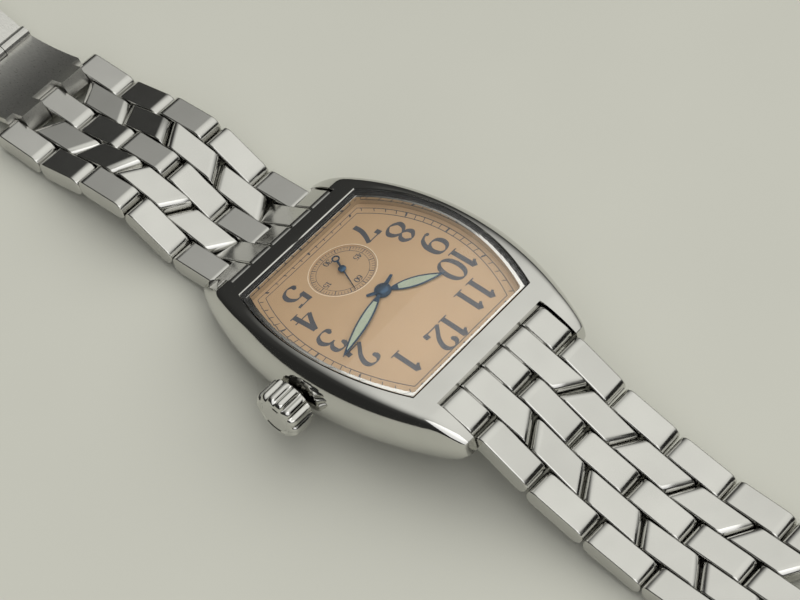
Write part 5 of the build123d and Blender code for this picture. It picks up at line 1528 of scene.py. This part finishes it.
def studio_world(strength):
    """Soft light from above and the far side that fades to dark towards the crown's side."""
    world = bpy.data.worlds.new("studio")
    world.use_nodes = True
    tree = world.node_tree
    height = added(tree, "ShaderNodeVectorMath", {1: Vector(SKY_AXIS).normalized()}, operation="DOT_PRODUCT")
    ramp = added(tree, "ShaderNodeValToRGB")
    while len(ramp.color_ramp.elements) < len(SKY_STOPS):
        ramp.color_ramp.elements.new(0.5)
    for element, (position, value) in zip(ramp.color_ramp.elements, SKY_STOPS):
        element.position = position
        element.color = (value, value, value * 0.95, 1)
    wired(tree, (added(tree, "ShaderNodeTexCoord"), "Generated", height, 0), (height, "Value", ramp, "Fac"),
          (ramp, "Color", tree.nodes["Background"], "Color"))
    tree.nodes["Background"].inputs["Strength"].default_value = strength
    bpy.context.scene.world = world


def floor_material(colour):
    """Pale matt floor with barely seen clouds."""
    material, tree = new_material("pale_floor", 0.0, Roughness=0.7)
    tinted(tree, noise(tree, 30.0).outputs["Fac"], colour, 0.985, 1.015)
    return material


class WATCH_OT_stage(bpy.types.Operator):
    """Set the floor, the light and the camera"""

    bl_idname = "watch.stage"
    bl_label = "Stage"

    def execute(self, context):
        scene = context.scene
        stage = scene.watch_stage
        floor = stage_sheet("floor", FLOOR_SIZE, floor_material(tuple(scene.watch_colours.floor)))
        floor.location.z = -FLOOR_DROP
        key = softbox("key", KEY_PLACE, KEY_SIZE, stage.key_power, KEY_COLOUR)
        key.visible_glossy = False
        softbox("fill", FILL_PLACE, FILL_SIZE, stage.fill_power)
        dark_card()
        studio_world(stage.sky_strength)
        camera = bpy.data.cameras.new("camera")
        camera.sensor_width = CAMERA_SENSOR
        camera.lens = stage.lens
        camera.clip_start, camera.clip_end = CAMERA_CLIP
        scene.camera = linked("camera", camera)
        scene.camera.matrix_world = camera_matrix()
        scene.view_settings.view_transform = "Standard"
        return {"FINISHED"}


class WATCH_PT_panel(bpy.types.Panel):
    """Buttons and sizes of the watch"""

    bl_idname = "WATCH_PT_panel"
    bl_label = "Watch"
    bl_space_type = "VIEW_3D"
    bl_region_type = "UI"
    bl_category = "Watch"

    def draw(self, context):
        for settings in (context.scene.watch_sizes, context.scene.watch_colours, context.scene.watch_stage):
            column = self.layout.column(align=True)
            for name in settings.__annotations__:
                column.prop(settings, name)
        for operator in OPERATORS:
            self.layout.operator(operator.bl_idname)


OPERATORS = (WATCH_OT_stage, WATCH_OT_case, WATCH_OT_crystal, WATCH_OT_dial, WATCH_OT_dial_print,
             WATCH_OT_hands, WATCH_OT_crown, WATCH_OT_bracelet, WATCH_OT_end_links, WATCH_OT_back,
             WATCH_OT_bridge_trim, WATCH_OT_movement)
CLASSES = (WatchSizes, WatchColours, WatchStage, *OPERATORS, WATCH_PT_panel)


def register():
    for kind in CLASSES:
        bpy.utils.register_class(kind)
    bpy.types.Scene.watch_sizes = bpy.props.PointerProperty(type=WatchSizes)
    bpy.types.Scene.watch_colours = bpy.props.PointerProperty(type=WatchColours)
    bpy.types.Scene.watch_stage = bpy.props.PointerProperty(type=WatchStage)


def unregister():
    del bpy.types.Scene.watch_stage
    del bpy.types.Scene.watch_colours
    del bpy.types.Scene.watch_sizes
    for kind in reversed(CLASSES):
        bpy.utils.unregister_class(kind)


def main():
    register()
    for operator in OPERATORS:
        family, name = operator.bl_idname.split(".")
        if getattr(getattr(bpy.ops, family), name)() != {"FINISHED"}:
            raise RuntimeError(f"{operator.bl_label} did not finish")


if __name__ == "__main__":
    main()
